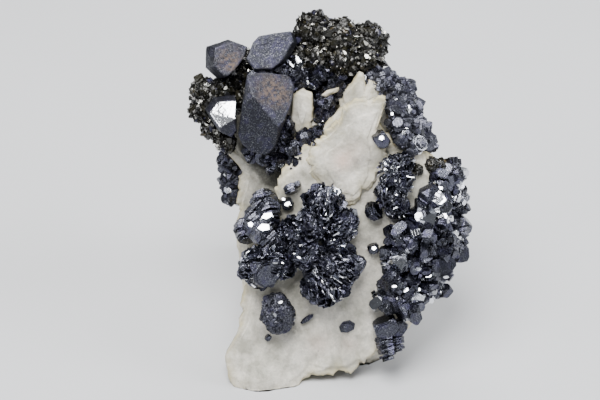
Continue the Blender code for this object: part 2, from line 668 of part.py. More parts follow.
def neighbours_of(pieces):
    """The grown pieces of earlier solids whose boxes meet one of these pieces."""
    bpy.context.view_layer.update()
    boxes = [box_of(piece) for piece in pieces]
    return [grown for grown in GROWN if any(boxes_meet(box_of(grown), box) for box in boxes)]


def joined(name, pieces, cutters, mineral):
    """Join the pieces in one solid, cut it back from its neighbours, and keep it as a part."""
    first, *others = pieces
    groups = []
    for things, operation in ((others, "UNION"), (cutters, "DIFFERENCE")):
        if things:
            group = bpy.data.collections.new(operation)
            groups.append(group)
            for thing in things:
                group.objects.link(thing)
            boolean = first.modifiers.new(operation, "BOOLEAN")
            boolean.operation = operation
            boolean.operand_type = "COLLECTION"
            boolean.collection = group
            boolean.solver = "EXACT"
    bpy.context.view_layer.update()
    mesh = bpy.data.meshes.new_from_object(first.evaluated_get(bpy.context.evaluated_depsgraph_get()))
    bm = bmesh.new()
    bm.from_mesh(mesh)
    bmesh.ops.remove_doubles(bm, verts=bm.verts[:], dist=MERGE)
    bmesh.ops.dissolve_limit(bm, angle_limit=FLAT, verts=bm.verts[:], edges=bm.edges[:])
    bmesh.ops.triangulate(bm, faces=bm.faces[:])
    keep_one_body(bm)
    bm.to_mesh(mesh)
    bm.free()
    mesh.materials.clear()
    mesh.materials.append(material_for(mineral))
    part = bpy.data.objects.new(name, mesh)
    part.parent = first.parent
    part.location = first.location
    part.rotation_euler = first.rotation_euler
    PARTS.objects.link(part)
    for thing in pieces:
        bpy.data.objects.remove(thing, do_unlink=True)
    for group in groups:
        bpy.data.collections.remove(group)


def keep_as_cutters(things):
    """Pieces grown by the seam stay as wire cutters for the solids that come later."""
    for thing in things:
        thing.hide_render = True
        thing.display_type = "WIRE"
        GROWN.append(thing)


def ground_block():
    """The space under the specimen, which cuts its flat base."""
    bm = bmesh.new()
    bmesh.ops.create_cube(bm, size=1.0)
    bmesh.ops.scale(bm, vec=(GROUND_WIDTH, GROUND_WIDTH, GROUND_DEPTH), verts=bm.verts[:])
    bmesh.ops.translate(bm, vec=(0.0, 0.0, -GROUND_DEPTH / 2), verts=bm.verts[:])
    ground = solid_object("Ground", bm, BASE, CUTTERS)
    ground.hide_render = True
    ground.display_type = "WIRE"
    return ground


def calcite_matrix():
    pieces = [blade_object(name, CUTTERS) for name in BLADES] + [core_object(CUTTERS)]
    joined("calcite_matrix", pieces, [ground_block()], CALCITE)
    keep_as_cutters([blade_object(name, CUTTERS, SEAM) for name in BLADES])
    keep_as_cutters([core_object(CUTTERS, SEAM)])


def galena_blocks():
    """The four big crystals, which meet at flat seams."""
    for name in BLOCKS:
        piece = block_object(name, CUTTERS)
        joined(name, [piece], neighbours_of([piece]), GALENA_MATT)
        keep_as_cutters([block_object(name, CUTTERS, SEAM)])


def cluster(name, mineral, members, parent):
    """A group of small crystals in one solid."""
    pieces = [member_object(member, parent, CUTTERS) for member in members]
    joined(name, pieces, neighbours_of(pieces), mineral)
    keep_as_cutters([member_object(member, parent, CUTTERS, SEAM) for member in members])


def build():
    calcite_matrix()
    galena_blocks()
    for name, group in CLUSTERS.items():
        cluster(name, group["mineral"], cluster_members(name), BASE if group.get("from_base") else LEAN)
    cluster("galena_rosette", GALENA_BRIGHT, rosette_members(), LEAN)
    cluster("galena_barrel", GALENA_MATT, barrel_members(), LEAN)
    cluster("galena_pair_left", GALENA_BRIGHT, pair_members(), LEAN)
    cluster("sphalerite_patch_right", SPHALERITE, lumps_of(SPHALERITE_PATCH), LEAN)
    cluster("sphalerite_bead", SPHALERITE, lumps_of(SPHALERITE_BEAD), LEAN)
    for name, single in SINGLES.items():
        cluster(name, single[-1], single_members(name), LEAN)


empty_scene()
PARTS = new_collection("Galena with Sphalerite")
CUTTERS = new_collection("Cutters")
GROWN = []
BASE = new_empty("Base")
BASE.location = (-BASE_MIDDLE[0] * MM, -BASE_MIDDLE[1] * MM, 0.0)
LEAN = new_empty("Lean", BASE)
LEAN.rotation_euler = (math.pi / 2 - LEAN_BACK, 0.0, 0.0)
build()
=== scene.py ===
"""Looks of the standing galena and sphalerite specimen on bladed white calcite.

Sizes are in millimetres. Most pieces are placed along the front blade's own axes: x to the right, y up
the blade and z out of its face. The pieces behind are placed from the base: x to the right, y to the
back and z up. Every new surface is worked out with numpy on a grid of two parameters, or is a cut
crystal repeated many times.
"""

import math

import bmesh
import bpy
import numpy as np
from mathutils import Euler, Matrix, Vector


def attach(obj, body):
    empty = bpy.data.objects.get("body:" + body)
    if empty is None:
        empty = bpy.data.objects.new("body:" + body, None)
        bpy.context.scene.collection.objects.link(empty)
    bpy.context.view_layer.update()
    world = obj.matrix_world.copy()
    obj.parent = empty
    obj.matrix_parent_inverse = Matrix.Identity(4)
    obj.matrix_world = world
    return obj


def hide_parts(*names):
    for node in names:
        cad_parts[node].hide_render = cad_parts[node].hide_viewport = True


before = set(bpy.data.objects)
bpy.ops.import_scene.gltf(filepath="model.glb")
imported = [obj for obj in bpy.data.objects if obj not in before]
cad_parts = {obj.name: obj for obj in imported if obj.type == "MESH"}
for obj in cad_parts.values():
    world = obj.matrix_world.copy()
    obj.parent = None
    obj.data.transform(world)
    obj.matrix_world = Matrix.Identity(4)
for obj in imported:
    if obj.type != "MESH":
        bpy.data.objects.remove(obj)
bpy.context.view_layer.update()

bl_info = {
    "name": "Galena with Sphalerite",
    "version": (1, 0, 0),
    "blender": (4, 5, 0),
    "location": "View3D > Sidebar > Specimen",
    "description": "Builds the crystals, the calcite and the studio of a mineral specimen",
    "category": "Object",
}

# Placing
MM = 0.001
LEAN_BACK = math.radians(28.0)
BASE_X = 2.0
BASE_Y = 26.0
WAVE_HEIGHT = 0.35
WAVE_ACROSS = 0.31
WAVE_ALONG = 0.23
GOLDEN_TURN = math.pi * (3.0 - math.sqrt(5.0))

# Calcite blades: the outline runs round its middle, and a swell is x, y, radius and height
BLADES = {
    "front": {
        "outline": (
            (-28.5, 8.0), (-28.0, 3.5), (-25.0, -2.0), (-17.5, -4.0), (-9.0, -2.5), (-6.0, 1.5),
            (-1.0, 2.0), (5.0, 3.0), (12.5, 8.0), (16.5, 11.0), (20.5, 17.0), (25.0, 24.0), (28.5, 33.5),
            (30.0, 44.5), (30.0, 54.0), (29.0, 60.0), (27.0, 65.0), (21.0, 66.5), (15.5, 69.5),
            (13.5, 72.5), (15.0, 78.5), (4.5, 77.0), (-0.5, 71.5), (-5.0, 67.0), (-9.0, 64.0),
            (-11.5, 60.5), (-14.0, 56.5), (-15.0, 52.5), (-15.5, 47.0), (-17.0, 41.5), (-19.5, 36.0),
            (-23.5, 27.0), (-23.5, 22.5), (-25.0, 14.5),
        ),
        "middle": (-1.0, 37.0),
        "thickness": 5.0,
        "swells": (
            (-21.0, 5.0, 8.0, 1.8), (-6.0, 11.0, 5.0, 0.9), (6.0, 22.0, 9.0, 0.7),
            (16.0, 12.0, 4.0, -0.8), (-12.0, 17.0, 6.0, -0.5),
        ),
    },
    "upper": {
        "outline": (
            (4.0, 77.5), (8.0, 79.0), (12.0, 78.7), (15.0, 79.0), (14.5, 77.0), (13.5, 71.5), (15.0, 67.5),
            (15.5, 62.0), (12.5, 55.5), (7.0, 50.0), (1.5, 48.0), (-3.0, 53.5), (-5.5, 59.0), (-5.5, 63.5),
            (-4.5, 65.5), (-2.0, 69.0), (0.0, 71.0), (2.5, 74.0),
        ),
        "middle": (5.5, 63.0),
        "thickness": 3.6,
        "at": (0.0, 0.0, 2.1),
        "slope": (0.0, 0.125, 63.0),
    },
    "left": {
        "outline": (
            (-34.0, 72.0), (-31.5, 67.5), (-27.0, 64.5), (-25.0, 62.5), (-24.0, 58.0), (-25.0, 50.0),
            (-25.5, 42.0), (-25.0, 33.0), (-23.5, 25.0), (-19.0, 19.0), (-6.0, 22.0), (-1.0, 40.0),
            (-3.0, 60.0), (-6.0, 76.0), (-12.0, 80.0), (-20.0, 79.0), (-28.0, 77.0), (-33.0, 76.0),
        ),
        "middle": (-16.0, 54.0),
        "thickness": 5.0,
        "at": (0.0, 0.0, -9.6),
        # Painted shade on the face under the big crystals and beside the front blade's rim: x, y, radius and
        # strength
        "painted_shade": (
            (-13.5, 61.0, 4.5, 1.3), (-17.0, 65.5, 5.0, 1.1), (-15.5, 56.0, 4.0, 0.9),
            (-21.5, 59.5, 5.0, 0.65), (-20.0, 48.0, 5.0, 0.75), (-21.5, 38.0, 4.0, 0.6),
            (-24.0, 71.5, 4.0, 1.2), (-22.5, 66.5, 3.5, 1.2),
        ),
    },
    "top": {
        "outline": (
            (2.6, 77.0), (3.0, 80.5), (5.5, 82.0), (8.0, 85.0), (9.4, 84.5), (10.2, 81.0), (11.2, 78.0),
            (12.0, 60.0), (2.0, 60.0),
        ),
        "middle": (8.0, 72.0),
        "thickness": 4.0,
        "at": (0.0, 0.0, -5.5),
    },
    "hollow": {
        "outline": (
            (-9.8, 79.5), (-7.0, 80.6), (-4.4, 79.5), (-4.2, 74.0), (-4.6, 68.0), (-6.0, 60.0),
            (-11.0, 60.0), (-10.4, 70.0),
        ),
        "middle": (-7.4, 71.0),
        "thickness": 5.0,
        "at": (0.0, 0.0, -5.5),
    },
    "sliver": {
        "outline": ((-2.2, 79.0), (-0.6, 80.3), (2.6, 81.2), (2.4, 79.9), (0.4, 79.2), (-0.8, 78.5)),
        "middle": (0.1, 79.8),
        "thickness": 3.5,
        "at": (0.0, 0.0, -4.0),
    },
    "upper right": {
        "outline": (
            (8.0, 58.0), (27.0, 55.0), (27.5, 66.0), (25.0, 73.0), (22.0, 79.0), (17.0, 82.0),
            (11.0, 83.0), (6.0, 78.0),
        ),
        "middle": (16.0, 69.0),
        "thickness": 7.0,
        "at": (0.0, 0.0, -5.0),
    },
    "right flank": {
        "outline": (
            (-2.0, 12.0), (6.0, 16.0), (13.0, 26.0), (18.5, 36.0), (20.0, 46.0), (19.0, 56.0),
            (13.0, 62.0), (2.0, 64.0), (-2.5, 50.0), (-2.5, 24.0),
        ),
        "middle": (6.0, 38.0),
        "thickness": 6.0,
        "at": (20.0, 0.0, -3.6),
        "turn": (0.0, 46.0, 0.0),
    },
    "back": {
        "outline": (
            (-21.0, -4.0), (15.0, -5.0), (17.0, 12.0), (21.0, 26.0), (16.0, 44.0), (8.0, 60.0),
            (-3.0, 66.0), (-13.0, 57.0), (-24.0, 46.0), (-22.0, 24.0),
        ),
        "middle": (-2.0, 28.0),
        "thickness": 5.0,
        "swells": ((6.0, 10.0, 9.0, 1.6), (-12.0, 34.0, 8.0, 1.4), (8.0, 40.0, 7.0, -1.2)),
        "at": (2.0, 53.0, 0.0),
        "turn": (86.0, 0.0, 172.0),
        "from_base": True,
    },
    "back fin": {
        "outline": (
            (-18.0, -4.0), (13.0, -4.0), (16.0, 14.0), (12.0, 30.0), (15.0, 42.0), (4.0, 54.0),
            (-10.0, 58.0), (-18.0, 40.0),
        ),
        "middle": (-2.0, 24.0),
        "thickness": 4.5,
        "at": (13.0, 40.0, 0.0),
        "turn": (93.0, 0.0, 118.0),
        "from_base": True,
    },
    "left fin": {
        "outline": (
            (-16.0, -4.0), (14.0, -4.0), (15.0, 20.0), (6.0, 34.0), (-4.0, 47.0), (-9.0, 53.0),
            (-16.0, 30.0),
        ),
        "middle": (0.0, 24.0),
        "thickness": 4.5,
        "at": (-15.0, 36.0, 0.0),
        "turn": (88.0, 0.0, 234.0),
        "from_base": True,
    },
    "low rib": {
        "outline": (
            (-12.0, -3.0), (6.0, 0.0), (9.0, 9.0), (6.0, 20.0), (-1.0, 27.0), (-10.0, 24.0), (-13.0, 10.0),
        ),
        "middle": (-3.0, 12.0),
        "thickness": 3.5,
        "at": (-4.0, 53.0, 2.0),
        "turn": (78.0, 14.0, 100.0),
        "from_base": True,
    },
    "high rib": {
        "outline": (
            (-10.0, -8.0), (5.0, -9.0), (8.0, 0.0), (6.0, 10.0), (-2.0, 15.0), (-9.0, 9.0),
        ),
        "middle": (-1.0, 1.0),
        "thickness": 3.5,
        "at": (4.0, 52.0, 38.0),
        "turn": (62.0, -20.0, 140.0),
        "from_base": True,
    },
}

# How each blade's rings are made: columns, rows, share of the rim's breaking, and seed
CALCITE_PIECES = (
    ("front", 400, 120, 1.0, 1), ("upper", 260, 90, 1.0, 2), ("left", 240, 64, 0.8, 3),
    ("top", 150, 50, 0.8, 4), ("hollow", 150, 40, 0.5, 5), ("sliver", 60, 24, 0.2, 13),
    ("upper right", 180, 42, 0.7, 6), ("right flank", 200, 44, 0.8, 7), ("back", 240, 48, 1.0, 8),
    ("back fin", 190, 40, 1.0, 9), ("left fin", 190, 40, 1.0, 10), ("low rib", 130, 32, 0.8, 11),
    ("high rib", 130, 32, 0.8, 12),
)
# Shares of the rows on the face and the side, and the power by which rings crowd towards the rim
FACE_ROWS = 0.62
SIDE_ROWS = 0.16
RING_CROWDING = 1.3
# The edge is rounded by this much, or by a share of a thin blade's thickness
EDGE_ROUND = 0.8
EDGE_ROUND_SHARE = 0.3
BACK_DRAWN_IN = 0.985
# Yellow fades in this far from the rim, and the back has it evenly
RIM_FADE = 1.7
BACK_YELLOW = 0.6
# How far apart in the noise each blade and its back are
SEED_APART = 7.0
BACK_APART = 3.0

# Stains on the blades: x, y, radius and strength. The grey spots are partly dirt and partly painted shade
# below crystals and on blades that lie in shade. They thin out between two shares of the thickness
SOILED_AND_SHADED_SPOTS = (
    (-9.5, 15.0, 3.0, 0.75), (-5.0, 20.0, 4.0, 0.5), (-12.0, 52.0, 3.0, 0.6), (4.0, 27.0, 2.5, 0.5),
    (11.0, 50.5, 3.0, 0.5), (-16.0, 30.0, 3.0, 0.4), (12.0, 22.0, 2.5, 0.5), (14.0, 62.0, 3.0, 0.4),
    (-8.5, 74.0, 3.5, 0.4), (6.0, 80.5, 3.0, 0.35), (24.0, 57.0, 2.5, 0.3),
)
BLUSH_SPOTS = ((3.5, 62.0, 2.6, 0.9), (7.0, 65.0, 3.5, 0.3), (-3.0, 12.0, 3.0, 0.4), (5.5, 11.5, 2.5, 0.3))
DUSTY_SPOTS = (
    (-15.5, 81.0, 3.4, 1.0), (-12.5, 79.0, 2.2, 0.8), (-27.0, 89.0, 2.6, 0.8), (-25.5, 87.5, 1.8, 0.7),
)
STAIN_AND_SHADE_THINS = 0.4
STAIN_AND_SHADE_ENDS = 0.8
# Painted shade down the side walls of the blades, darker further down
CREVICE_SHADE = 0.8

# The massive calcite behind the blades: height, then the lowest and highest x and y of each section
CORE_SECTIONS = (
    (-6.0, -17.0, 17.0, 8.0, 46.0),
    (8.0, -18.0, 21.0, 11.0, 47.0),
    (24.0, -17.0, 24.0, 18.0, 50.0),
    (40.0, -12.5, 25.0, 25.5, 51.0),
    (52.0, -9.0, 22.0, 33.0, 51.0),
    (60.0, -6.5, 17.0, 39.5, 50.0),
)
CORE_COLUMNS = 190
CORE_ROWS = 56
CORE_SQUARENESS = 3.0
CORE_BOTTOM_POINT = 1.0
CORE_TOP_POINT = 2.0
CORE_YELLOW = 0.25
CLEAVAGE_STEPS = 3.0

# Big galena crystals: the tone of all their faces, and painted light: a tone added on the faces that look up,
# as light from above would
BLOCK_TONE = -0.10
BLOCK_PAINTED_TOP_LIGHT = 0.24
BLOCK_SEED = 70
BLOCK_SHARPNESS = 150.0
# Each is the solid between the corners of its front faces, a waist and a smaller outline behind, which
# are x, y, z and a share of the front's size. A face is its middle x, y and z, how much z rises along x
# and along y, and its corners
BLOCKS = {
    "galena_block_front": {
        "faces": (
            ((-17.2, 75.0, 4.5), (-0.50, -0.42), (
                (-20.0, 79.0), (-21.3, 82.0), (-22.0, 85.2), (-17.0, 85.6), (-10.5, 84.4),
                (-9.2, 81.5), (-9.8, 78.0), (-11.6, 73.7), (-13.7, 71.0))),
            ((-17.2, 75.0, 4.5), (0.34, 0.30), (
                (-20.0, 79.0), (-13.7, 71.0), (-14.5, 65.5), (-16.6, 63.2), (-21.0, 64.0),
                (-23.8, 66.5), (-24.6, 69.2), (-23.2, 77.0))),
        ),
        "behind": (-17.0, 75.5, -8.5, 0.80),
        "painted_top_light": -0.08,
    },
    "galena_block_top": {
        "faces": (
            ((-16.0, 90.0, -5.5), (-0.10, -0.30), (
                (-22.4, 89.0), (-20.8, 93.0), (-19.0, 95.0), (-10.5, 96.3), (-9.6, 93.5),
                (-12.4, 88.6), (-15.4, 86.2), (-20.2, 86.0))),
        ),
        "behind": (-15.5, 90.5, -18.5, 0.86),
        "waist": (-15.7, 90.0, -9.5, 1.06),
    },
    "galena_block_left": {
        "faces": (
            ((-27.5, 88.5, -4.5), (-0.15, -0.25), (
                (-30.9, 91.8), (-25.7, 93.5), (-22.0, 92.1), (-22.9, 89.4), (-24.6, 86.9),
                (-26.9, 84.5), (-28.3, 84.3), (-31.1, 86.9))),
        ),
        "behind": (-27.8, 88.3, -16.0, 0.80),
        "waist": (-28.3, 88.4, -8.5, 1.16),
    },
    "galena_block_mirror": {
        "faces": (
            ((-28.5, 74.5, 0.5), (0.20, -0.42), (
                (-32.2, 74.6), (-30.0, 77.6), (-24.9, 78.0), (-25.2, 73.2), (-29.2, 70.8))),
            ((-27.0, 71.3, 1.7), (0.05, 0.55), (
                (-25.2, 73.2), (-29.2, 70.8), (-29.0, 69.4), (-26.2, 68.0), (-24.9, 70.0))),
        ),
        "behind": (-28.5, 73.2, -9.0, 0.85),
        "waist": (-28.5, 73.2, -3.5, 1.10),
        "mirror": True,
    },
}

# Leafy lobes of the rosette: x, y, z, radius and the bearing of the fan's spine in degrees
LEAFY_LOBES = (
    (-1.5, 50.5, 3.0, 5.2, 80.0), (3.5, 45.0, 3.5, 4.5, 20.0), (-4.5, 45.0, 4.5, 4.8, 125.0),
    (-10.0, 42.5, 4.0, 4.4, 150.0), (-6.5, 37.5, 5.0, 4.4, 20.0), (-13.5, 35.0, 4.0, 4.8, 165.0),
    (-19.0, 33.0, 2.0, 5.2, 200.0), (1.5, 39.5, 3.5, 3.6, 10.0), (2.0, 33.5, 4.5, 6.2, -30.0),
    (-1.0, 29.0, 4.0, 6.0, -70.0),
)
# Single balls and crystals beside them: x, y, z and radius, and for the pair also a turn in degrees.
# Their facets are x, y, half width, half height and roll in degrees, as in the table of facets below
ROSETTE_KNOB = (8.0, 34.7, 4.8, 2.3)
ROSETTE_CRYSTAL = (-17.8, 32.8, 4.4, 3.9)
ROSETTE_FACETS = (
    (-18.6, 34.4, 1.0, 0.6, 25.0), (-12.6, 35.0, 0.7, 0.3, -30.0), (-8.0, 36.4, 0.9, 0.35, -35.0),
)
BARREL = (-13.8, 20.6, 3.2, 5.0)
PAIR_LEFT = ((-17.0, 49.5, 1.5, 4.6, 20.0), (-18.0, 44.3, 1.6, 5.4, 50.0), (-22.5, 42.5, -2.0, 3.4, 10.0))
PAIR_FACETS = ((-16.6, 47.2, 2.5, 1.3, 10.0), (-17.3, 44.2, 2.1, 1.5, -8.0), (-21.0, 45.0, 0.9, 1.0, 30.0))
PAIR_ROOT = (-19.0, 45.5, -5.0, 4.6)

# Druses: lumps are x, y, z and radius. Main crystals sit in the lumps, and small ones coat them on the
# outward side, a spacing apart and of a size between two limits. The laminated share of the main crystals
# are stacks of plates, polish is how many of all shine, and tone runs from the darkest to the lightest
DRUSES = {
    "sphalerite_crown": {
        "lumps": (
            (-4.0, 95.7, -13.5, 5.3), (3.0, 93.4, -13.0, 6.0), (10.5, 92.5, -13.5, 5.6),
            (-3.0, 89.0, -12.0, 4.6), (4.0, 88.0, -11.0, 5.0), (10.5, 88.5, -12.0, 4.8),
            (3.0, 91.0, -19.5, 6.0), (10.0, 91.5, -19.0, 5.0), (-8.3, 90.0, -14.5, 3.4),
            (-7.4, 85.8, -13.0, 3.2),
        ),
        "outward": (0.0, 1.0, 0.6), "spacing": 0.86, "size": (0.36, 1.5), "seed": 11,
    },
    "sphalerite_collar": {
        "lumps": (
            (-30.5, 77.5, -10.5, 5.5), (-34.0, 79.5, -9.5, 3.8), (-34.0, 74.5, -8.5, 3.6),
            (-28.5, 67.5, -7.5, 3.2), (-26.5, 81.5, -12.0, 4.0), (-24.0, 78.0, -11.5, 4.0),
            (-31.5, 70.0, -9.5, 3.2), (-23.5, 85.5, -10.5, 2.8), (-22.5, 88.0, -12.5, 2.8),
            (-27.5, 66.0, -5.5, 2.6),
        ),
        "outward": (-0.8, 0.1, 0.8), "spacing": 0.84, "size": (0.36, 1.6), "seed": 12,
    },
    "galena_druse_inner": {
        "lumps": (
            (-6.0, 82.0, -15.0, 5.0), (0.0, 79.0, -15.5, 5.0), (0.5, 74.0, -12.5, 3.2),
            (-0.5, 70.0, -9.5, 2.6), (-4.5, 66.0, -8.5, 2.8), (-8.5, 63.5, -7.5, 2.8),
            (-12.0, 61.0, -7.0, 2.8), (-11.5, 66.5, -9.0, 3.0), (-10.5, 75.5, -14.0, 3.6),
            (-13.0, 82.5, -17.0, 5.0), (-5.0, 76.0, -18.0, 5.5), (5.0, 81.0, -16.0, 5.0),
            (-9.5, 69.5, -12.5, 3.4), (-0.5, 77.0, -7.5, 3.0), (-1.0, 73.0, -6.0, 2.8),
            (-3.2, 68.2, -2.6, 2.9), (-6.8, 66.8, -2.6, 2.2), (-9.2, 64.6, -2.2, 2.2),
            (-9.4, 61.2, -1.6, 2.0), (-12.5, 66.5, -4.0, 2.8), (-13.0, 62.5, -5.0, 2.6),
            (-15.5, 64.0, -5.0, 2.6), (-14.5, 60.5, -4.8, 2.2), (-11.8, 71.0, -4.5, 2.4),
            (2.5, 81.0, -8.5, 3.0), (-3.0, 83.5, -9.0, 3.2), (-8.5, 83.0, -8.5, 3.0),
            (-12.5, 84.5, -9.5, 3.4), (-17.5, 84.8, -9.0, 3.4), (-9.6, 86.5, -12.0, 3.0),
            (-17.0, 62.2, -6.4, 2.5), (-17.5, 66.0, -7.0, 2.8), (-20.6, 64.0, -8.0, 2.4),
        ),
        "outward": (0.0, -0.2, 1.0), "spacing": 1.85, "size": (0.5, 1.65), "seed": 13,
        "finish": "Mirror Galena", "laminated": 0.3, "polish": 0.20, "tone": (0.0, 0.45),
    },
    "galena_cluster_left_back": {
        "lumps": ((-27.0, 60.0, -14.5, 3.2), (-26.5, 55.0, -15.5, 3.4), (-26.0, 50.5, -14.5, 2.6)),
        "outward": (-1.0, 0.0, 0.0), "spacing": 1.6, "size": (0.7, 1.4), "seed": 14,
        "finish": "Dull Galena", "laminated": 0.3, "polish": 0.3, "tone": (0.0, 0.6),
    },
    "galena_shoulder": {
        "lumps": (
            (16.4, 59.4, 2.0, 3.2), (18.5, 56.5, 2.6, 3.8), (16.2, 53.0, 2.4, 3.4), (18.5, 49.5, 2.0, 3.0),
            (19.5, 61.0, 1.6, 3.0),
        ),
        "outward": (0.0, -0.2, 1.0), "spacing": 1.3, "size": (0.7, 1.7), "seed": 15,
        "finish": "Mirror Galena", "laminated": 0.4, "polish": 0.45, "tone": (0.1, 0.75), "leafy": True,
    },
    "galena_crust_upper_right": {
        "lumps": (
            (15.5, 82.0, -7.0, 3.2), (20.0, 80.0, -6.5, 3.4), (18.4, 76.0, -3.0, 3.2),
            (12.8, 83.2, -9.5, 2.8), (21.5, 75.5, -4.5, 3.6), (19.0, 71.0, -1.0, 3.0),
            (24.0, 70.0, -3.5, 3.4), (19.6, 67.6, 0.6, 2.2), (23.5, 66.0, 0.0, 2.6),
            (26.5, 66.0, -3.0, 2.6),
        ),
        "outward": (0.5, 0.3, 1.0), "spacing": 1.3, "size": (0.5, 1.3), "seed": 16,
        "finish": "Dull Galena", "laminated": 0.2, "polish": 0.22, "tone": (0.35, 1.0),
    },
    "galena_crust_flank": {
        "lumps": (
            (27.5, 57.5, -2.5, 3.2), (32.5, 56.5, -7.0, 3.8), (28.0, 51.5, -1.5, 3.6),
            (33.5, 50.0, -8.5, 3.8), (23.0, 46.0, 1.0, 3.4), (28.5, 45.5, -2.0, 3.8),
            (33.5, 43.5, -9.0, 3.6), (18.5, 41.0, 1.6, 3.0), (25.0, 39.5, 0.5, 3.8),
            (31.0, 38.0, -6.0, 3.8), (17.5, 36.0, 1.8, 3.2), (25.0, 33.0, 0.0, 3.8),
            (30.0, 32.0, -6.0, 3.4), (17.5, 29.0, 1.8, 3.6), (25.5, 27.5, -2.0, 3.6),
            (16.0, 23.5, 1.5, 3.0), (21.0, 22.5, 0.0, 3.2), (29.0, 26.0, -6.5, 2.6),
            (35.0, 37.5, -12.0, 3.0),
        ),
        "outward": (0.6, 0.0, 1.0), "spacing": 1.8, "size": (0.5, 2.7), "seed": 17,
        "finish": "Mirror Galena", "laminated": 0.45, "polish": 0.58, "tone": (0.0, 0.62),
    },
    "galena_cluster_back_low": {
        "lumps": ((10.0, 55.0, 18.0, 4.5), (4.0, 56.0, 23.0, 4.0), (14.0, 53.0, 25.0, 4.0)),
        "outward": (0.0, 1.0, 0.0), "spacing": 2.0, "size": (0.8, 1.6), "seed": 19,
        "finish": "Dull Galena", "laminated": 0.2, "polish": 0.3, "tone": (0.0, 0.8), "upright": True,
    },
    "galena_cluster_back_high": {
        "lumps": ((-6.0, 54.0, 50.0, 4.2), (-10.0, 52.0, 56.0, 4.4), (-3.0, 52.0, 58.0, 4.0)),
        "outward": (-0.2, 1.0, 0.2), "spacing": 2.0, "size": (0.8, 1.6), "seed": 20,
        "finish": "Dull Galena", "laminated": 0.2, "polish": 0.3, "tone": (0.0, 0.8), "upright": True,
    },
    "sphalerite_patch_back": {
        "lumps": ((13.0, 53.0, 48.0, 4.0), (8.0, 54.0, 53.0, 3.8), (16.0, 50.0, 55.0, 3.8)),
        "outward": (0.3, 1.0, 0.2), "spacing": 1.2, "size": (0.5, 1.1), "seed": 21, "upright": True,
    },
    "sphalerite_patch_right": {
        "lumps": ((27.5, 60.5, -1.0, 2.2), (30.0, 60.0, -3.5, 2.2)),
        "outward": (0.2, 0.2, 1.0), "spacing": 0.9, "size": (0.4, 0.8), "seed": 22,
    },
    "sphalerite_bead": {
        "lumps": ((24.0, 59.5, 1.0, 1.5),),
        "outward": (0.0, 0.2, 1.0), "spacing": 0.8, "size": (0.3, 0.55), "seed": 23,
    },
}

# Bare calcite between the shoulder and the flank: x and y of a line's points, and its half width
BARE_STRIP = ((26.0, 64.5), (23.5, 56.0), (21.0, 45.0))
BARE_WIDTH = 2.2

# Facets that mirror the light: x, y, half width, half height and roll in degrees
SHINING = {
    "galena_crust_flank": (
        (30.0, 51.0, 2.3, 1.7, 10.0), (30.0, 54.0, 1.1, 0.8, -20.0), (20.0, 35.0, 1.3, 0.8, 25.0),
        (27.0, 31.0, 1.6, 1.3, 40.0), (17.5, 28.0, 1.1, 0.5, 0.0), (20.5, 27.0, 1.2, 1.4, 5.0),
        (24.2, 26.5, 1.0, 0.8, 10.0), (12.2, 22.0, 0.7, 0.8, 20.0), (18.0, 22.5, 1.8, 1.3, 30.0),
        (24.0, 44.0, 0.8, 0.6, 60.0), (31.5, 46.5, 0.7, 1.1, 15.0), (26.0, 36.0, 0.7, 0.5, 35.0),
    ),
    "galena_shoulder": ((18.0, 53.0, 0.7, 0.5, 10.0),),
    "galena_bright_upper": ((14.0, 68.0, 1.0, 1.0, 20.0),),
    "galena_grain_bright": ((-11.0, 50.0, 1.2, 0.9, 10.0), (-12.2, 51.2, 0.6, 0.7, 40.0)),
    "galena_cube_small": ((12.1, 38.0, 0.9, 0.8, 10.0),),
    "galena_crust_upper_right": (
        (21.0, 70.5, 0.7, 0.5, 0.0), (26.0, 65.5, 0.6, 0.5, 30.0), (17.0, 74.0, 0.5, 0.7, 0.0),
    ),
}
TO_THE_KEY = (-0.092, 0.474, 0.875)

# Foot crystal: x, y, z, radius, and the turn about the way out of the face in degrees
FOOT_CRYSTAL = ((15.4, 16.8, 2.0, 3.9, 20.0), (19.0, 16.2, 0.4, 2.8, 55.0))
FOOT_PLATES = ((15.4, 11.8, 1.2, 3.9), (18.2, 12.8, 0.0, 3.0))

# Single small crystals: place, half sizes, turn in the face and lean in degrees, layers (0 for a stepped
# cube) and the number of small ones beside it
SINGLES = {
    "galena_skeletal_small": ((-10.3, 54.3, 1.2), (2.4, 2.8, 1.3), 25.0, 72.0, 6, 1),
    "galena_grain_bright": ((-11.3, 50.2, 1.0), (1.5, 1.5, 1.2), 15.0, 20.0, 0, 2),
    "galena_leafy_small": ((12.0, 48.3, 1.6), (3.1, 2.8, 1.8), 120.0, 62.0, 8, 1),
    "galena_cube_small": ((12.0, 38.0, 0.9), (1.5, 1.3, 1.2), 20.0, 15.0, 0, 2),
    "galena_bright_upper": ((13.9, 67.8, 2.6), (1.9, 2.3, 1.6), 35.0, 25.0, 0, 5),
    "galena_chip_left": ((-6.1, 18.6, 0.8), (2.4, 0.75, 0.8), 35.0, 8.0, 4, 0),
    "galena_chip_right": ((5.0, 16.6, 0.7), (2.6, 2.0, 0.8), 20.0, 10.0, 4, 0),
    "galena_grain_low": ((-16.5, 13.5, 0.6), (0.9, 0.7, 0.8), 50.0, 20.0, 0, 1),
}
SINGLES_SEED = 47
BARREL_SHAPE = (0.95, 1.22, 0.90)
BARREL_SHARPNESS = 22.0
BARREL_GRAINS = 150

# Rough balls under the crystals, in shares of a lump's radius: their size, valleys and grains
LUMP_FILL = 0.97
LUMP_VALLEYS = 0.16
LUMP_GRAINS = 0.42
LUMP_POLISH = 0.15
HEART_SHARE = 0.80
HEART_SEED = 60
# Crystals coat a ball where its way out turns from the open side by less than this cosine
OPEN_SIDE = -0.45

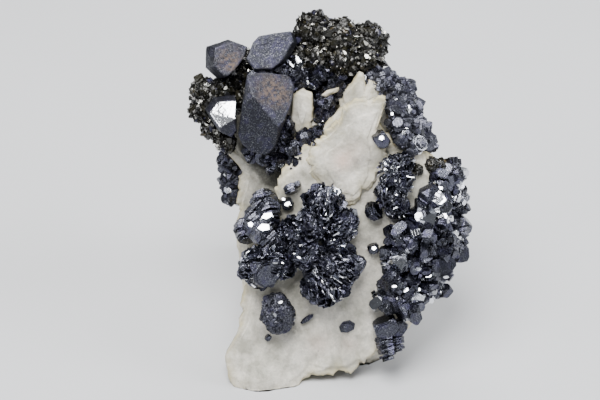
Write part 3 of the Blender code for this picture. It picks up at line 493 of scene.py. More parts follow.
# The rosette, in shares of a lobe's radius: its ridged ball, the ball that leaves stand on, and their sizes
RIDGED_SHARE = 0.95
RIDGED_GRID = 16
RIDGED_SEED = 200
RIDGE_APART = 0.62
LEAFY_SHARE = 0.88
LEAF_SIZES = (0.20, 0.54)
LEAF_KINDS = 6
LEAF_SCATTER = 0.25
LEAF_LEAN = 0.2
LEAF_POLISH = 0.50
ROSETTE_TONE = 1.0
ROSETTE_SEED = 31

# Finishes: the record's slot of each, and for galena its roughness where dull and where bright, how
# metallic it is, its bluish bloom and the relief of its layers. Grains are in millimetres
GALENA_FINISHES = {
    "Dull Galena": (0.44, 0.10, 0.92, 0.35, 0.0),
    "Mirror Galena": (0.22, 0.06, 1.0, 0.50, 0.2),
}
CALCITE_GRAINS = {
    "cloud": 7.0, "rim": 3.5, "vein": 2.2, "dirt_and_shade": 1.6, "speck": 5.5, "sugar": 0.8, "fine": 0.6,
}
GALENA_GRAINS = {"pits": 0.34, "bloom": 2.6, "dust": 1.1, "flakes": 0.16}
SPHALERITE_GRAINS = {"mottle": 0.8, "pits": 0.45}
# Near black, a painted shadow where the grey mark is strongest
PAINTED_SHADOW_BLACK = (0.035, 0.034, 0.028)
DARK_SPECKS = (0.06, 0.05, 0.045)
BLUISH_BLOOM = (0.055, 0.052, 0.105)
BLUISH_GRAINS = (0.040, 0.040, 0.075)
PITCH_BLACK = (0.005, 0.0045, 0.004)
METALLIC_GLINT = (0.72, 0.71, 0.66)

# Studio: the floor's half side and drop in metres, and the grain of its cloud in millimetres
FLOOR_REACH = 2.0
FLOOR_SQUARES = 20
FLOOR_DROP = 0.00005
FLOOR_GRAIN = 90.0
# The camera looks at the target, which is in millimetres, from a distance in metres
CAMERA_TARGET = (-9.83, -2.01, 45.12)
CAMERA_DISTANCE = 0.6
CAMERA_HEIGHT = math.radians(35.0)
CAMERA_LENS = 133.33
CAMERA_SENSOR = 36.0
# Each light's name, way from the target, distance, width and height in metres, power in watts and colour
LIGHTS = (
    ("Key", (-0.17, -0.20, 0.96), 0.60, (0.46, 0.40), 9.5, (1.0, 0.99, 0.97)),
    ("Right", (0.85, -0.05, 0.60), 0.55, (0.16, 0.30), 2.2, (0.97, 0.98, 1.0)),
    ("Left", (-0.90, -0.30, 0.35), 0.60, (0.12, 0.34), 1.3, (0.97, 0.98, 1.0)),
    ("Back", (0.15, 0.85, 0.75), 0.60, (0.40, 0.20), 3.0, (1.0, 1.0, 1.0)),
    ("Front", (0.30, -0.95, 0.25), 0.80, (0.20, 0.12), 0.7, (1.0, 1.0, 1.0)),
)
AIR_COLOUR = (0.80, 0.84, 0.92, 1.0)
AIR_STRENGTH = 0.14


# Noise
MIX_X, MIX_Y, MIX_Z = 374761393, 668265263, 1440662683
MIX_SEED = 1013904223
MIX_AGAIN = 1274126177
LOW_32_BITS = 0xFFFFFFFF
LOW_16_BITS = 0xFFFF


def lattice_number(corner, seed):
    """A number from 0 to 1 for each whole-numbered point, from multiplying and mixing its bits."""
    mixed = corner[..., 0] * MIX_X + corner[..., 1] * MIX_Y + corner[..., 2] * MIX_Z
    mixed = (mixed + seed * MIX_SEED) & LOW_32_BITS
    mixed = ((mixed ^ (mixed >> 13)) * MIX_AGAIN) & LOW_32_BITS
    mixed = ((mixed ^ (mixed >> 15)) * MIX_Y) & LOW_32_BITS
    return ((mixed >> 9) & LOW_16_BITS) / LOW_16_BITS


def soft_noise(points, cell, seed):
    """Noise from -1 to 1: lattice numbers a cell apart, blended by 3t^2 - 2t^3 along each axis."""
    scaled = points / cell
    low = np.floor(scaled).astype(np.int64)
    t = scaled - low
    t = t * t * (3.0 - 2.0 * t)
    total = np.zeros(points.shape[:-1])
    for corner in np.ndindex(2, 2, 2):
        weight = np.prod(np.where(corner, t, 1.0 - t), axis=-1)
        total += weight * lattice_number(low + np.array(corner), seed)
    return 2.0 * total - 1.0


def rough_noise(points, cell, seed, octaves=3):
    """Noise with finer noise on it: each octave has half the cell and half the height."""
    return sum(soft_noise(points, cell / 2**k, seed + k) / 2**k for k in range(octaves))


def nearest_cell(points, cell, seed):
    """One random point in each cube of a lattice: the distance to the nearest, in cells, and its number."""
    scaled = points / cell
    low = np.floor(scaled).astype(np.int64)
    nearest = np.full(points.shape[:-1], 9.0)
    number = np.zeros(points.shape[:-1])
    for shift in np.ndindex(3, 3, 3):
        cube = low + np.array(shift) - 1
        spot = cube + np.stack([lattice_number(cube, seed + k) for k in range(3)], axis=-1)
        away = np.linalg.norm(scaled - spot, axis=-1)
        closer = away < nearest
        nearest = np.where(closer, away, nearest)
        number = np.where(closer, lattice_number(cube, seed + 3), number)
    return nearest, number


def eased(value, low, high):
    """0 below low, 1 above high, and 3t^2 - 2t^3 between them."""
    t = np.clip((value - low) / (high - low), 0.0, 1.0)
    return t * t * (3.0 - 2.0 * t)


def as_points(x, y, z=0.0):
    """Points from their coordinates, each a number or an array."""
    return np.stack(np.broadcast_arrays(x, y, z), axis=-1).astype(float)


# Placing and meshes
def stand(points, upright=False):
    """Millimetre points at their real place in metres. Points on the front blade's axes are leaned back
    first, and nothing goes below the flat base."""
    x, y, z = points[..., 0], points[..., 1], points[..., 2]
    if not upright:
        along, out = math.sin(LEAN_BACK), math.cos(LEAN_BACK)
        y, z = y * along - z * out, y * out + z * along
    return np.stack((x - BASE_X, y - BASE_Y, np.maximum(z, 0.0)), axis=-1) * MM


def closed_rings(rings, first, last):
    """A closed surface from rings of points, with a fan to a point before the first and after the last."""
    rows, columns = rings.shape[:2]
    points = np.concatenate((rings.reshape(-1, 3), [first, last]))
    inner = (np.arange(rows - 1)[:, None] * columns + np.arange(columns)[None, :]).ravel()
    beside = (np.arange(rows - 1)[:, None] * columns + (np.arange(columns)[None, :] + 1) % columns).ravel()
    quads = np.stack((inner, inner + columns, beside + columns, beside), axis=1)
    column = np.arange(columns)
    after = (column + 1) % columns
    start, end = rows * columns, rows * columns + 1
    top = np.stack((np.full(columns, start), column, after), axis=1)
    edge = (rows - 1) * columns
    bottom = np.stack((np.full(columns, end), edge + after, edge + column), axis=1)
    return points, [quads, np.concatenate((top, bottom))]


def gathered(parts):
    """Many surfaces as one: points, faces of each size, and the marks of each point."""
    points, faces, marks, start = [], {}, [], 0
    for part_points, part_faces, part_marks in parts:
        points.append(part_points)
        marks.append(np.pad(part_marks, ((0, 0), (0, 4 - part_marks.shape[1]))))
        for group in part_faces:
            faces.setdefault(group.shape[1], []).append(group + start)
        start += len(part_points)
    return np.concatenate(points), [np.concatenate(group) for group in faces.values()], np.concatenate(marks)


def keep_piece(name, points, faces, marks, finish, node, smooth=False, upright=False, slot=None):
    """Make the piece's mesh in place, give it its finish, and let it stand for its CAD node.

    Marks are up to three numbers from 0 to 1 for each point and a height in millimetres along its
    crystal, kept as a colour attribute. The slot is not used."""
    mesh = bpy.data.meshes.new(name)
    place = stand(points, upright)
    mesh.from_pydata(place.tolist(), [], [face for group in faces for face in group.tolist()])
    mesh.polygons.foreach_set("use_smooth", np.full(len(mesh.polygons), smooth))
    colours = np.ones((len(points), 4))
    colours[:, :marks.shape[1]] = marks
    colours[:, :3] = np.clip(colours[:, :3], 0.0, 1.0)
    layer = mesh.attributes.new("marks", "FLOAT_COLOR", "POINT")
    layer.data.foreach_set("color", colours.ravel())
    mesh.materials.append(finish_of(finish))
    mesh.update()
    piece = bpy.data.objects.new(name, mesh)
    bpy.context.scene.collection.objects.link(piece)
    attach(piece, "root")
    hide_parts(node)


# Calcite surfaces
def face_height(blade, x, y):
    """The front face's height: a slow wave, the blade's slope up its length, and its swells."""
    height = WAVE_HEIGHT * np.sin(x * WAVE_ACROSS + 0.8) * np.cos(y * WAVE_ALONG - 0.4)
    across, along, level = blade.get("slope", (0.0, 0.0, 0.0))
    height = height + across * x + along * (y - level)
    for swell_x, swell_y, radius, rise in blade.get("swells", ()):
        away = ((x - swell_x) ** 2 + (y - swell_y) ** 2) / radius**2
        height = height + rise * np.exp(-away)
    return height


def outline_reach(blade, angles):
    """How far each ray from the middle runs to the outline: where it crosses the edge between corners."""
    spokes = np.array(blade["outline"]) - np.array(blade["middle"])
    bearing = np.arctan2(spokes[:, 1], spokes[:, 0])
    order = np.argsort(bearing)
    spokes, bearing = spokes[order], bearing[order]
    after = np.searchsorted(bearing, angles) % len(bearing)
    corner, edge = spokes[after - 1], spokes[after] - spokes[after - 1]
    crossing = corner[:, 0] * edge[:, 1] - corner[:, 1] * edge[:, 0]
    return crossing / (np.cos(angles) * edge[:, 1] - np.sin(angles) * edge[:, 0])


def on_rays(blade, reach, angles, z):
    """Points at a distance from the blade's middle along each ray."""
    middle_x, middle_y = blade["middle"]
    return as_points(middle_x + reach * np.cos(angles), middle_y + reach * np.sin(angles), z)


def broken_rim(rim, whole, nibble, seed):
    """The rim's distance once it is broken: the outline's, in and out by slow noise, less crumbs of two
    sizes and a few wider bites."""
    crumbs = np.abs(soft_noise(rim, 1.5, seed + 1)) + 0.5 * np.abs(soft_noise(rim, 0.7, seed + 2))
    bites = eased(soft_noise(rim, 2.3, seed + 3), 0.30, 0.45)
    return whole + nibble * (1.0 * soft_noise(rim, 3.1, seed) - 1.3 * crumbs - 0.9 * bites + 0.45)


def blade_face(blade, share, whole, reach, angles, edge_round, seed):
    """The face's rings: its own height plus fine relief, less two thin layers that end a few millimetres
    from the rim, less a quarter round at the edge."""
    spot = on_rays(blade, share * reach, angles, seed * SEED_APART)
    relief = (0.60 * rough_noise(spot, 7.5, seed + 7, 2) + 0.09 * rough_noise(spot, 1.8, seed + 8, 2)
              + 0.04 * soft_noise(spot, 0.7, seed + 9))
    inner_end = 3.5 + 5.0 * soft_noise(spot, 9.0, seed + 3) + 0.25 * soft_noise(spot, 1.6, seed + 4)
    outer_end = 1.2 + 2.0 * soft_noise(spot, 6.0, seed + 5) + 0.25 * soft_noise(spot, 1.1, seed + 6)
    margin = whole - share * reach
    steps = 0.28 * eased(inner_end - margin, -0.2, 0.2) + 0.34 * eased(outer_end - margin, -0.12, 0.12)
    fall = 1.0 - np.clip((1.0 - share) * reach / edge_round, 0.0, 1.0)
    x, y = spot[..., 0], spot[..., 1]
    z = face_height(blade, x, y) + relief - steps - edge_round * (1.0 - np.sqrt(1.0 - fall**2 * 0.98))
    return as_points(x, y, z)


def blade_side(blade, rim, top, low, down, reach, angles, seed):
    """The side's rings, from the face's last ring down to the back: bulged a little, and grooved by noise
    and a wave where layers end."""
    z = top * (1.0 - down) + low * down
    bulge = 0.12 * np.sin(math.pi * down)
    spot = as_points(rim[:, 0], rim[:, 1], z * 3.0)
    groove = 0.26 * rough_noise(spot, 2.4, seed + 10) + 0.14 * np.sin(z * 7.0 + 3.0 * np.cos(angles)) - 0.1
    return on_rays(blade, reach + bulge + groove, angles, z)


def blade_back(blade, share, reach, angles, edge_round, seed):
    """The back's rings: flat with rough noise, and rounded up towards the rim."""
    spot = on_rays(blade, share * reach * BACK_DRAWN_IN, angles, seed * SEED_APART + BACK_APART)
    fall = 1.0 - np.clip((1.0 - share) * reach / edge_round, 0.0, 1.0)
    z = -blade["thickness"] + 0.35 * rough_noise(spot, 5.0, seed + 11) + 0.4 * edge_round * fall**2
    return as_points(spot[..., 0], spot[..., 1], z)


def blade_surface(name, columns, rows, nibble, seed):
    """A blade as rings from the middle of its face, over a broken rim, to the middle of its back. Also
    how near each point is to the rim, and how far down the side."""
    blade = BLADES[name]
    edge_round = min(EDGE_ROUND, EDGE_ROUND_SHARE * blade["thickness"])
    angles = np.linspace(-math.pi, math.pi, columns, endpoint=False)
    whole = outline_reach(blade, angles)
    rim = on_rays(blade, whole, angles, seed * SEED_APART)
    reach = broken_rim(rim, whole, nibble, seed)

    front, side = int(rows * FACE_ROWS), int(rows * SIDE_ROWS)
    share = (1.0 - (1.0 - np.linspace(0.0, 1.0, front + 1)[1:]) ** RING_CROWDING)[:, None]
    face_rings = blade_face(blade, share, whole, reach, angles, edge_round, seed)
    edge = np.exp(-(1.0 - share) * reach / RIM_FADE)
    down = np.linspace(0.0, 1.0, side + 2)[1:-1, None]
    low = -blade["thickness"] + 0.6 * edge_round
    side_rings = blade_side(blade, rim, face_rings[-1, :, 2], low, down, reach, angles, seed)
    share = (1.0 - np.linspace(0.0, 1.0, rows - front - side + 1)[:-1] ** RING_CROWDING)[:, None]
    back_rings = blade_back(blade, share, reach, angles, edge_round, seed)

    rings = np.concatenate((face_rings, side_rings, back_rings))
    first = (*blade["middle"], face_rings[0, :, 2].mean())
    last = (*blade["middle"], back_rings[-1, :, 2].mean())
    points, faces = closed_rings(rings, first, last)
    yellow, crevice_shade = np.full(rings.shape[:2], BACK_YELLOW), np.zeros(rings.shape[:2])
    yellow[:front] = edge
    yellow[front:front + side] = 1.0
    # Painted shade: the side walls darken towards the back, where a blade meets what lies under it
    crevice_shade[front:front + side] = eased(down, 0.1, 0.8)
    yellow, crevice_shade = np.append(yellow, (0.0, BACK_YELLOW)), np.append(crevice_shade, (0.0, 0.0))
    return points, faces, yellow, crevice_shade


def placed_blade(name, points):
    """The blade turned and moved to its own place."""
    blade = BLADES[name]
    turn = Euler([math.radians(angle) for angle in blade.get("turn", (0.0, 0.0, 0.0))]).to_matrix()
    return points @ np.array(turn).T + np.array(blade.get("at", (0.0, 0.0, 0.0)))


def core_surface():
    """The massive calcite: rounded rectangles from the base to the top, on which noise is cut into
    steps like cleavage, with finer noise over all."""
    table = np.array(CORE_SECTIONS)
    height = np.linspace(table[0, 0], table[-1, 0], CORE_ROWS)
    low_x, high_x, low_y, high_y = (np.interp(height, table[:, 0], side)[:, None] for side in table.T[1:])
    angles = np.linspace(0.0, 2.0 * math.pi, CORE_COLUMNS, endpoint=False)
    corner = (np.abs(np.cos(angles)) ** CORE_SQUARENESS
              + np.abs(np.sin(angles)) ** CORE_SQUARENESS) ** (-1.0 / CORE_SQUARENESS)
    mid_x, mid_y = (low_x + high_x) / 2, (low_y + high_y) / 2
    x = mid_x + (high_x - low_x) / 2 * corner * np.cos(angles)
    y = mid_y + (high_y - low_y) / 2 * corner * np.sin(angles)
    spot = as_points(x, y, height[:, None])
    cleaved = np.round(CLEAVAGE_STEPS * rough_noise(spot * (1.0, 1.0, 0.6), 9.0, 51)) / CLEAVAGE_STEPS
    out = 1.0 * cleaved + 0.55 * rough_noise(spot, 3.6, 52) + 0.15 * soft_noise(spot, 0.9, 53)
    spot[..., 0] += out * np.cos(angles)
    spot[..., 1] += out * np.sin(angles)
    first = (mid_x[0, 0], mid_y[0, 0], height[0] - CORE_BOTTOM_POINT)
    last = (mid_x[-1, 0], mid_y[-1, 0], height[-1] + CORE_TOP_POINT)
    points, (quads, fans) = closed_rings(spot, first, last)
    return points, [quads[:, ::-1], fans[:, ::-1]]


# Crystal surfaces
def ball_grid(count):
    """Directions over the six faces of a cube, each a square grid, welded where faces meet."""
    angle = np.tan(np.linspace(-math.pi / 4, math.pi / 4, count + 1))
    u, v = np.meshgrid(angle, angle, indexing="ij")
    sides = []
    for axis in range(3):
        for sign in (-1.0, 1.0):
            side = np.empty(u.shape + (3,))
            side[..., axis] = sign
            side[..., (axis + 1) % 3] = u * sign
            side[..., (axis + 2) % 3] = v
            sides.append(side.reshape(-1, 3))
    points = np.concatenate(sides)
    _, first, welded = np.unique(np.round(points * 1e6).astype(np.int64), axis=0,
                                 return_index=True, return_inverse=True)
    cell = (np.arange(count)[:, None] * (count + 1) + np.arange(count)[None, :]).ravel()
    quads = np.stack((cell, cell + count + 1, cell + count + 2, cell + 1), axis=1)
    quads = np.concatenate([quads + side * (count + 1) ** 2 for side in range(6)])
    points = points[first]
    return points / np.linalg.norm(points, axis=1, keepdims=True), welded.ravel()[quads]


def convex_hull(corners, flat_within=0.0):
    """The smallest convex solid round the corners, with the faces joined that lie within an angle of
    each other."""
    bm = bmesh.new()
    for corner in corners:
        bm.verts.new(corner)
    bmesh.ops.convex_hull(bm, input=bm.verts[:])
    if flat_within:
        bmesh.ops.dissolve_limit(bm, angle_limit=flat_within, verts=bm.verts[:], edges=bm.edges[:])
    return bm


def hull_planes(corners):
    """The flat faces of the smallest convex solid round the corners: outward normals and the distances
    from the corners' middle."""
    heart = corners.mean(axis=0)
    bm = convex_hull(corners, math.radians(3.0))
    bm.normal_update()
    planes = np.array([(*face.normal, face.calc_center_median().dot(face.normal)) for face in bm.faces])
    bm.free()
    normals = planes[:, :3]
    depths = planes[:, 3] - normals @ heart
    outward = np.where(depths < 0.0, -1.0, 1.0)
    return heart, normals * outward[:, None], depths * outward


def cut_surface(normals, depths, directions, sharpness):
    """How far a convex crystal reaches along each direction: the nearest of its faces, as a high power
    mean of cosine over depth, which rounds the edges. Also the face that each direction meets."""
    facing = np.clip(directions @ normals.T, 0.0, None) / depths
    return (facing**sharpness).sum(axis=1) ** (-1.0 / sharpness), facing.argmax(axis=1)


def polyhedron(corners, chamfer):
    """Points and triangles of the convex solid round the corners. Each of its faces is drawn in by the
    chamfer's share, and the solid round the drawn-in faces has a narrow flat along each edge."""
    bm = convex_hull(corners, 0.02)
    if chamfer:
        drawn_in = []
        for face in bm.faces:
            middle = face.calc_center_median()
            drawn_in += [middle + (vert.co - middle) * (1.0 - chamfer) for vert in face.verts]
        bm.free()
        bm = convex_hull(drawn_in)
    bmesh.ops.triangulate(bm, faces=bm.faces[:])
    bmesh.ops.recalc_face_normals(bm, faces=bm.faces[:])
    bm.verts.index_update()
    points = np.array([vert.co[:] for vert in bm.verts])
    faces = np.array([[vert.index for vert in face.verts] for face in bm.faces])
    bm.free()
    return points, faces


def cube_cut(corner, chamfer=0.0):
    """A cube whose corners are cut by an octahedron: each corner's third coordinate is the given share."""
    signs = np.array(list(np.ndindex(2, 2, 2))) * 2.0 - 1.0
    corners = np.concatenate([signs * np.roll((1.0, 1.0, corner), k) for k in range(3)])
    return polyhedron(corners, chamfer)


def tetrahedron_cut(corner, chamfer=0.0):
    """A tetrahedron with cut corners, of radius 1."""
    signs = np.array([(1, 1, 1), (1, -1, -1), (-1, 1, -1), (-1, -1, 1)], float)
    corners = np.concatenate([signs * np.roll((1.0, corner, corner), k) for k in range(3)])
    return polyhedron(corners, chamfer)


def terraced(shape):
    """A crystal with a raised step on each cube face: three copies, each longer along one axis."""
    points, faces = shape
    copies = [points * np.roll((1.0, 0.80, 0.80), k) for k in range(3)]
    copies.append(points * 0.93)
    return np.concatenate(copies), np.concatenate([faces + k * len(points) for k in range(4)])


def plate_stack(draw, plates, sides=8, least=0.90):
    """A laminated crystal of radius 1: thin prisms one on another along z, each with its own size, turn
    and shift, widest at the middle of the stack."""
    level = (np.arange(plates) + 0.5) / plates * 2.0 - 1.0
    width = np.sqrt(1.0 - 0.75 * level**2) * draw.uniform(0.86, 1.0, plates)
    spokes = np.linspace(0.0, 2.0 * math.pi, sides, endpoint=False)
    angle = spokes + draw.uniform(-0.12, 0.12, (plates, 1))
    ragged = width[:, None] * draw.uniform(least, 1.04, (plates, sides))
    shift = draw.uniform(-0.06, 0.06, (2, plates, 1))
    x, y = ragged * np.cos(angle) + shift[0], ragged * np.sin(angle) + shift[1]
    half = 0.82 / plates * draw.uniform(0.75, 1.2, plates)[:, None]
    lean = draw.uniform(-0.08, 0.08, (2, plates, 1))
    tilt = lean[0] * x + lean[1] * y
    low = as_points(x, y, level[:, None] - half + tilt)
    high = as_points(x * 0.97, y * 0.97, level[:, None] + half + tilt)
    points = np.concatenate((low, high), axis=1).reshape(-1, 3)
    corner = np.arange(sides)
    after = (corner + 1) % sides
    wall = np.concatenate((np.stack((corner, after, after + sides), axis=1),
                           np.stack((corner, after + sides, corner + sides), axis=1)))
    fan = np.stack((np.zeros(sides - 2, int), corner[1:-1], corner[2:]), axis=1)
    faces = np.concatenate((wall, fan[:, ::-1], fan + sides))
    faces = (faces[None] + (np.arange(plates) * 2 * sides)[:, None, None]).reshape(-1, 3)
    return points, faces


def random_turns(draw, count):
    """Turns with no preferred direction, from random unit quaternions."""
    quaternions = draw.normal(size=(count, 4))
    w, x, y, z = (quaternions / np.linalg.norm(quaternions, axis=1, keepdims=True)).T
    return np.stack((
        np.stack((1 - 2 * (y * y + z * z), 2 * (x * y - z * w), 2 * (x * z + y * w)), axis=-1),
        np.stack((2 * (x * y + z * w), 1 - 2 * (x * x + z * z), 2 * (y * z - x * w)), axis=-1),
        np.stack((2 * (x * z - y * w), 2 * (y * z + x * w), 1 - 2 * (x * x + y * y)), axis=-1),
    ), axis=1)


def turned(*turns):
    """Turns one within another, the last one made first: each is an angle in radians and an axis."""
    whole = Matrix.Identity(3)
    for angle, axis in turns:
        whole = whole @ Matrix.Rotation(angle, 3, axis)
    return np.array(whole)


def repeated(shape, places, sizes, turns, draw, polish=0.5):
    """Copies of a shape: each turned, scaled by three numbers and moved. Its marks are a tone of its own,
    a polish of its own, no dirt, and the height along the shape's own z."""
    points, faces = shape
    count = len(places)
    sizes = np.asarray(sizes, float)
    sizes = np.broadcast_to(sizes[:, None] if sizes.ndim == 1 else sizes, (count, 3))
    copies = np.einsum("nij,nvj->nvi", turns, points[None] * sizes[:, None, :]) + places[:, None, :]
    every = (faces[None] + (np.arange(count) * len(points))[:, None, None]).reshape(-1, faces.shape[1])
    marks = np.zeros((count, len(points), 4))
    marks[..., 3] = points[None, :, 2] * sizes[:, None, 2] + draw.uniform(0.0, 9.0, count)[:, None]
    marks[..., 0] = draw.uniform(0.0, 1.0, count)[:, None]
    marks[..., 1] = (draw.uniform(0.0, 1.0, count) ** (1.0 / polish - 1.0))[:, None]
    return copies.reshape(-1, 3), [every], marks.reshape(-1, 4)


def one_crystal(shape, place, sizes, turn, draw, polish=0.5):
    """One copy of a shape, scaled by a number or by three."""
    return repeated(shape, np.array([place]), [sizes], turn[None], draw, polish)


def marked(part, tone, polish=None):
    """The part with one tone, and one polish if it is given, in place of its random ones."""
    part[2][:, 0] = tone
    if polish is not None:
        part[2][:, 1] = polish
    return part


def coating(lumps, outward, spacing, draw, clearance=0.96):
    """Places spread over balls: points on a golden spiral about each ball, moved a little at random, and
    kept on the open side where no other ball covers them. Also the way out at each place."""
    outward = np.array(outward) / np.linalg.norm(outward)
    places, ways = [], []
    for index, (*middle, radius) in enumerate(lumps):
        count = int(4.0 * math.pi * radius**2 / spacing**2)
        step = np.arange(count) + 0.5
        fall = np.arccos(1.0 - 2.0 * step / count)
        turn = GOLDEN_TURN * step
        way = as_points(np.cos(turn) * np.sin(fall), np.sin(turn) * np.sin(fall), np.cos(fall))
        way = way + draw.normal(0.0, 0.22 * spacing / radius, way.shape)
        way /= np.linalg.norm(way, axis=1, keepdims=True)
        place = np.array(middle) + way * radius * draw.uniform(0.90, 1.04, (count, 1))
        clear = way @ outward > OPEN_SIDE
        for other, (*beside, reach) in enumerate(lumps):
            if other != index:
                clear &= np.linalg.norm(place - np.array(beside), axis=1) > clearance * reach
        places.append(place[clear])
        ways.append(way[clear])
    return np.concatenate(places), np.concatenate(ways)


def lumpy_balls(lumps, grid, seed):
    """A rough ball for each lump: its radius times a share, pushed out and in by the distance to the
    nearest random point, which gives rounded grains with sharp valleys."""
    directions, quads = ball_grid(grid)
    parts = []
    for index, (*middle, radius) in enumerate(lumps):
        spot = directions * radius
        away, number = nearest_cell(spot + index * 31.0, LUMP_GRAINS * radius, seed + index)
        reach = radius * (LUMP_FILL - LUMP_VALLEYS * away + 0.05 * number)
        marks = as_points(number, LUMP_POLISH)
        parts.append((np.array(middle) + directions * reach[:, None], [quads], marks))
    return parts


def grained(parts, name, finish, node, upright=False, slot=None):
    """One faceted piece from many surfaces."""
    keep_piece(name, *gathered(parts), finish, node, False, upright, slot)


def skin_height(lumps, x, y):
    """How far out the balls stand at a place on the blade: the highest of their tops there."""
    heights = [z + math.sqrt(max(radius**2 - (x - lump_x) ** 2 - (y - lump_y) ** 2, 0.05 * radius**2))
               for lump_x, lump_y, z, radius in lumps
               if (x - lump_x) ** 2 + (y - lump_y) ** 2 < 1.8 * radius**2]
    return max(heights, default=0.5)


def shining_facets(rows, lumps, draw):
    """Ragged plates whose bright faces look halfway between the camera and the key light."""
    parts = []
    facing = Vector(TO_THE_KEY).to_track_quat("Z", "Y").to_matrix()
    for x, y, half_width, half_height, roll in rows:
        turn = np.array(facing @ Matrix.Rotation(math.radians(roll), 3, "Z"))
        place = (x, y, skin_height(lumps, x, y) - 0.1)
        part = one_crystal(plate_stack(draw, 2, 5, 0.80), place, (half_width, half_height, 1.0), turn, draw)
        part[2][:, 1] = 1.0
        parts.append(part)
    return parts


def off_the_strip(places):
    """Which places are clear of the bare strip: further from its line than its half width."""
    line = np.array(BARE_STRIP)
    clear = np.ones(len(places), bool)
    for start, end in zip(line[:-1], line[1:]):
        along = end - start
        share = np.clip((places[:, :2] - start) @ along / (along @ along), 0.0, 1.0)
        away = np.linalg.norm(places[:, :2] - start - share[:, None] * along, axis=1)
        clear &= away > BARE_WIDTH
    return clear


def scattered(shapes, places, kinds, size, power, stretch, flat, draw, polish):
    """Small crystals of several shapes, one at each place. Large ones are rarer by the power, each is
    stretched at random along its own axes, and all are flattened by a share along the third."""
    low, high = size
    parts = []
    for kind, shape in enumerate(shapes):
        chosen = places[kinds == kind]
        sizes = draw.uniform(0.0, 1.0, len(chosen)) ** power * (high - low) + low
        drawn_out = draw.uniform(*stretch, (len(chosen), 3)) * sizes[:, None] * (1.0, 1.0, flat)
        parts.append(repeated(shape, chosen, drawn_out, random_turns(draw, len(chosen)), draw, polish))
    return parts


def sphalerite_druse(name):
    """Lumps of sphalerite: rough balls under many small tetrahedra and ragged plates with random turns."""
    druse = DRUSES[name]
    draw = np.random.default_rng(druse["seed"])
    parts = lumpy_balls(druse["lumps"], 9, druse["seed"] + HEART_SEED)
    places, _ = coating(druse["lumps"], druse["outward"], druse["spacing"], draw)
    kinds = draw.integers(0, 3, len(places))
    shapes = (tetrahedron_cut(0.15), plate_stack(draw, 3, 6, 0.7), plate_stack(draw, 2, 7, 0.6))
    parts += scattered(shapes, places, kinds, druse["size"], 3, (0.35, 1.35), 0.55, draw, 0.4)
    grained(parts, name + "_grains", "Black Sphalerite", name, druse.get("upright", False))


def galena_druse(name):
    """Lumps of galena: a stepped or laminated crystal in each, coated by small cut cubes and plates, or
    by thin leaves on edge."""
    druse = DRUSES[name]
    lumps, upright, polish = np.array(druse["lumps"]), druse.get("upright", False), druse["polish"]
    draw = np.random.default_rng(druse["seed"])
    stacked = draw.uniform(0.0, 1.0, len(lumps)) < druse["laminated"]
    solid = lumps[~stacked]
    parts = [repeated(terraced(cube_cut(0.30, 0.06)), solid[:, :3], solid[:, 3:] * 0.80,
                      random_turns(draw, len(solid)), draw, polish)]
    for lump in lumps[stacked]:
        stack = plate_stack(draw, int(draw.integers(7, 11)))
        turns = random_turns(draw, 1)
        parts.append(repeated(stack, lump[None, :3], lump[None, 3:] * 1.1, turns, draw, polish))
    places, _ = coating(druse["lumps"], druse["outward"], druse["spacing"], draw, 0.88)
    if not upright:
        places = places[off_the_strip(places)]
    kinds = draw.integers(0, 5, len(places))
    shapes = (cube_cut(0.20), cube_cut(0.55), terraced(cube_cut(0.45)), plate_stack(draw, 4, 6),
              plate_stack(draw, 5, 5))
    if druse.get("leafy", False):
        parts += leaves(druse["lumps"], druse["outward"], druse["spacing"], druse["size"], None, draw, polish)
    else:
        parts += scattered(shapes, places, kinds, druse["size"], 2, (0.45, 1.15), 1.0, draw, polish)
    dark, light = druse["tone"]
    for _, _, marks in parts:
        marks[:, 0] = dark + (light - dark) * marks[:, 0]
    parts += shining_facets(SHINING.get(name, ()), druse["lumps"], draw)
    hearts = [(*lump[:3], lump[3] * HEART_SHARE) for lump in druse["lumps"]]
    parts += lumpy_balls(hearts, 7, druse["seed"] + HEART_SEED)
    grained(parts, name + "_crystals", druse["finish"], name, upright)


def face_corners(middle, rise, outline):
    """The corners of a crystal's face, each as high as the face's slope makes it there."""
    x, y = np.array(outline).T
    return as_points(x, y, middle[2] + rise[0] * (x - middle[0]) + rise[1] * (y - middle[1]))


def block_surface(name, count, seed):
    """A big galena crystal: the cut surface of the hull of its face corners, its waist and the outline
    behind, with plateaus a tenth of a millimetre high and fine pits. Also the plateaus' heights, and the
    way that the face under each point looks."""
    block = BLOCKS[name]
    corners = np.concatenate([face_corners(*face) for face in block["faces"]])
    middle = corners.mean(axis=0)
    rings = [corners]
    for ring in ("waist", "behind"):
        if ring in block:
            ring_x, ring_y, ring_z, share = block[ring]
            rings.append(as_points(ring_x + share * (corners[:, 0] - middle[0]),
                                   ring_y + share * (corners[:, 1] - middle[1]), ring_z))
    heart, normals, depths = hull_planes(np.concatenate(rings))
    directions, quads = ball_grid(count)
    reach, face = cut_surface(normals, depths, directions, BLOCK_SHARPNESS)
    points = heart + directions * reach[:, None]
    plateau = np.round(2.2 * rough_noise(points + face[:, None] * 17.0, 5.0, seed, 2)) / 2.2
    away, _ = nearest_cell(points, 0.55, seed + 5)
    pits = 0.05 * eased(0.35 - away, 0.0, 0.3)
    reach = reach + 0.10 * plateau - pits + 0.03 * soft_noise(points, 0.6, seed + 9)
    return heart + directions * reach[:, None], [quads], plateau, normals[face]


def spine_of(bearing):
    """The way along the face at a bearing in degrees."""
    return np.array((math.cos(math.radians(bearing)), math.sin(math.radians(bearing)), 0.0))


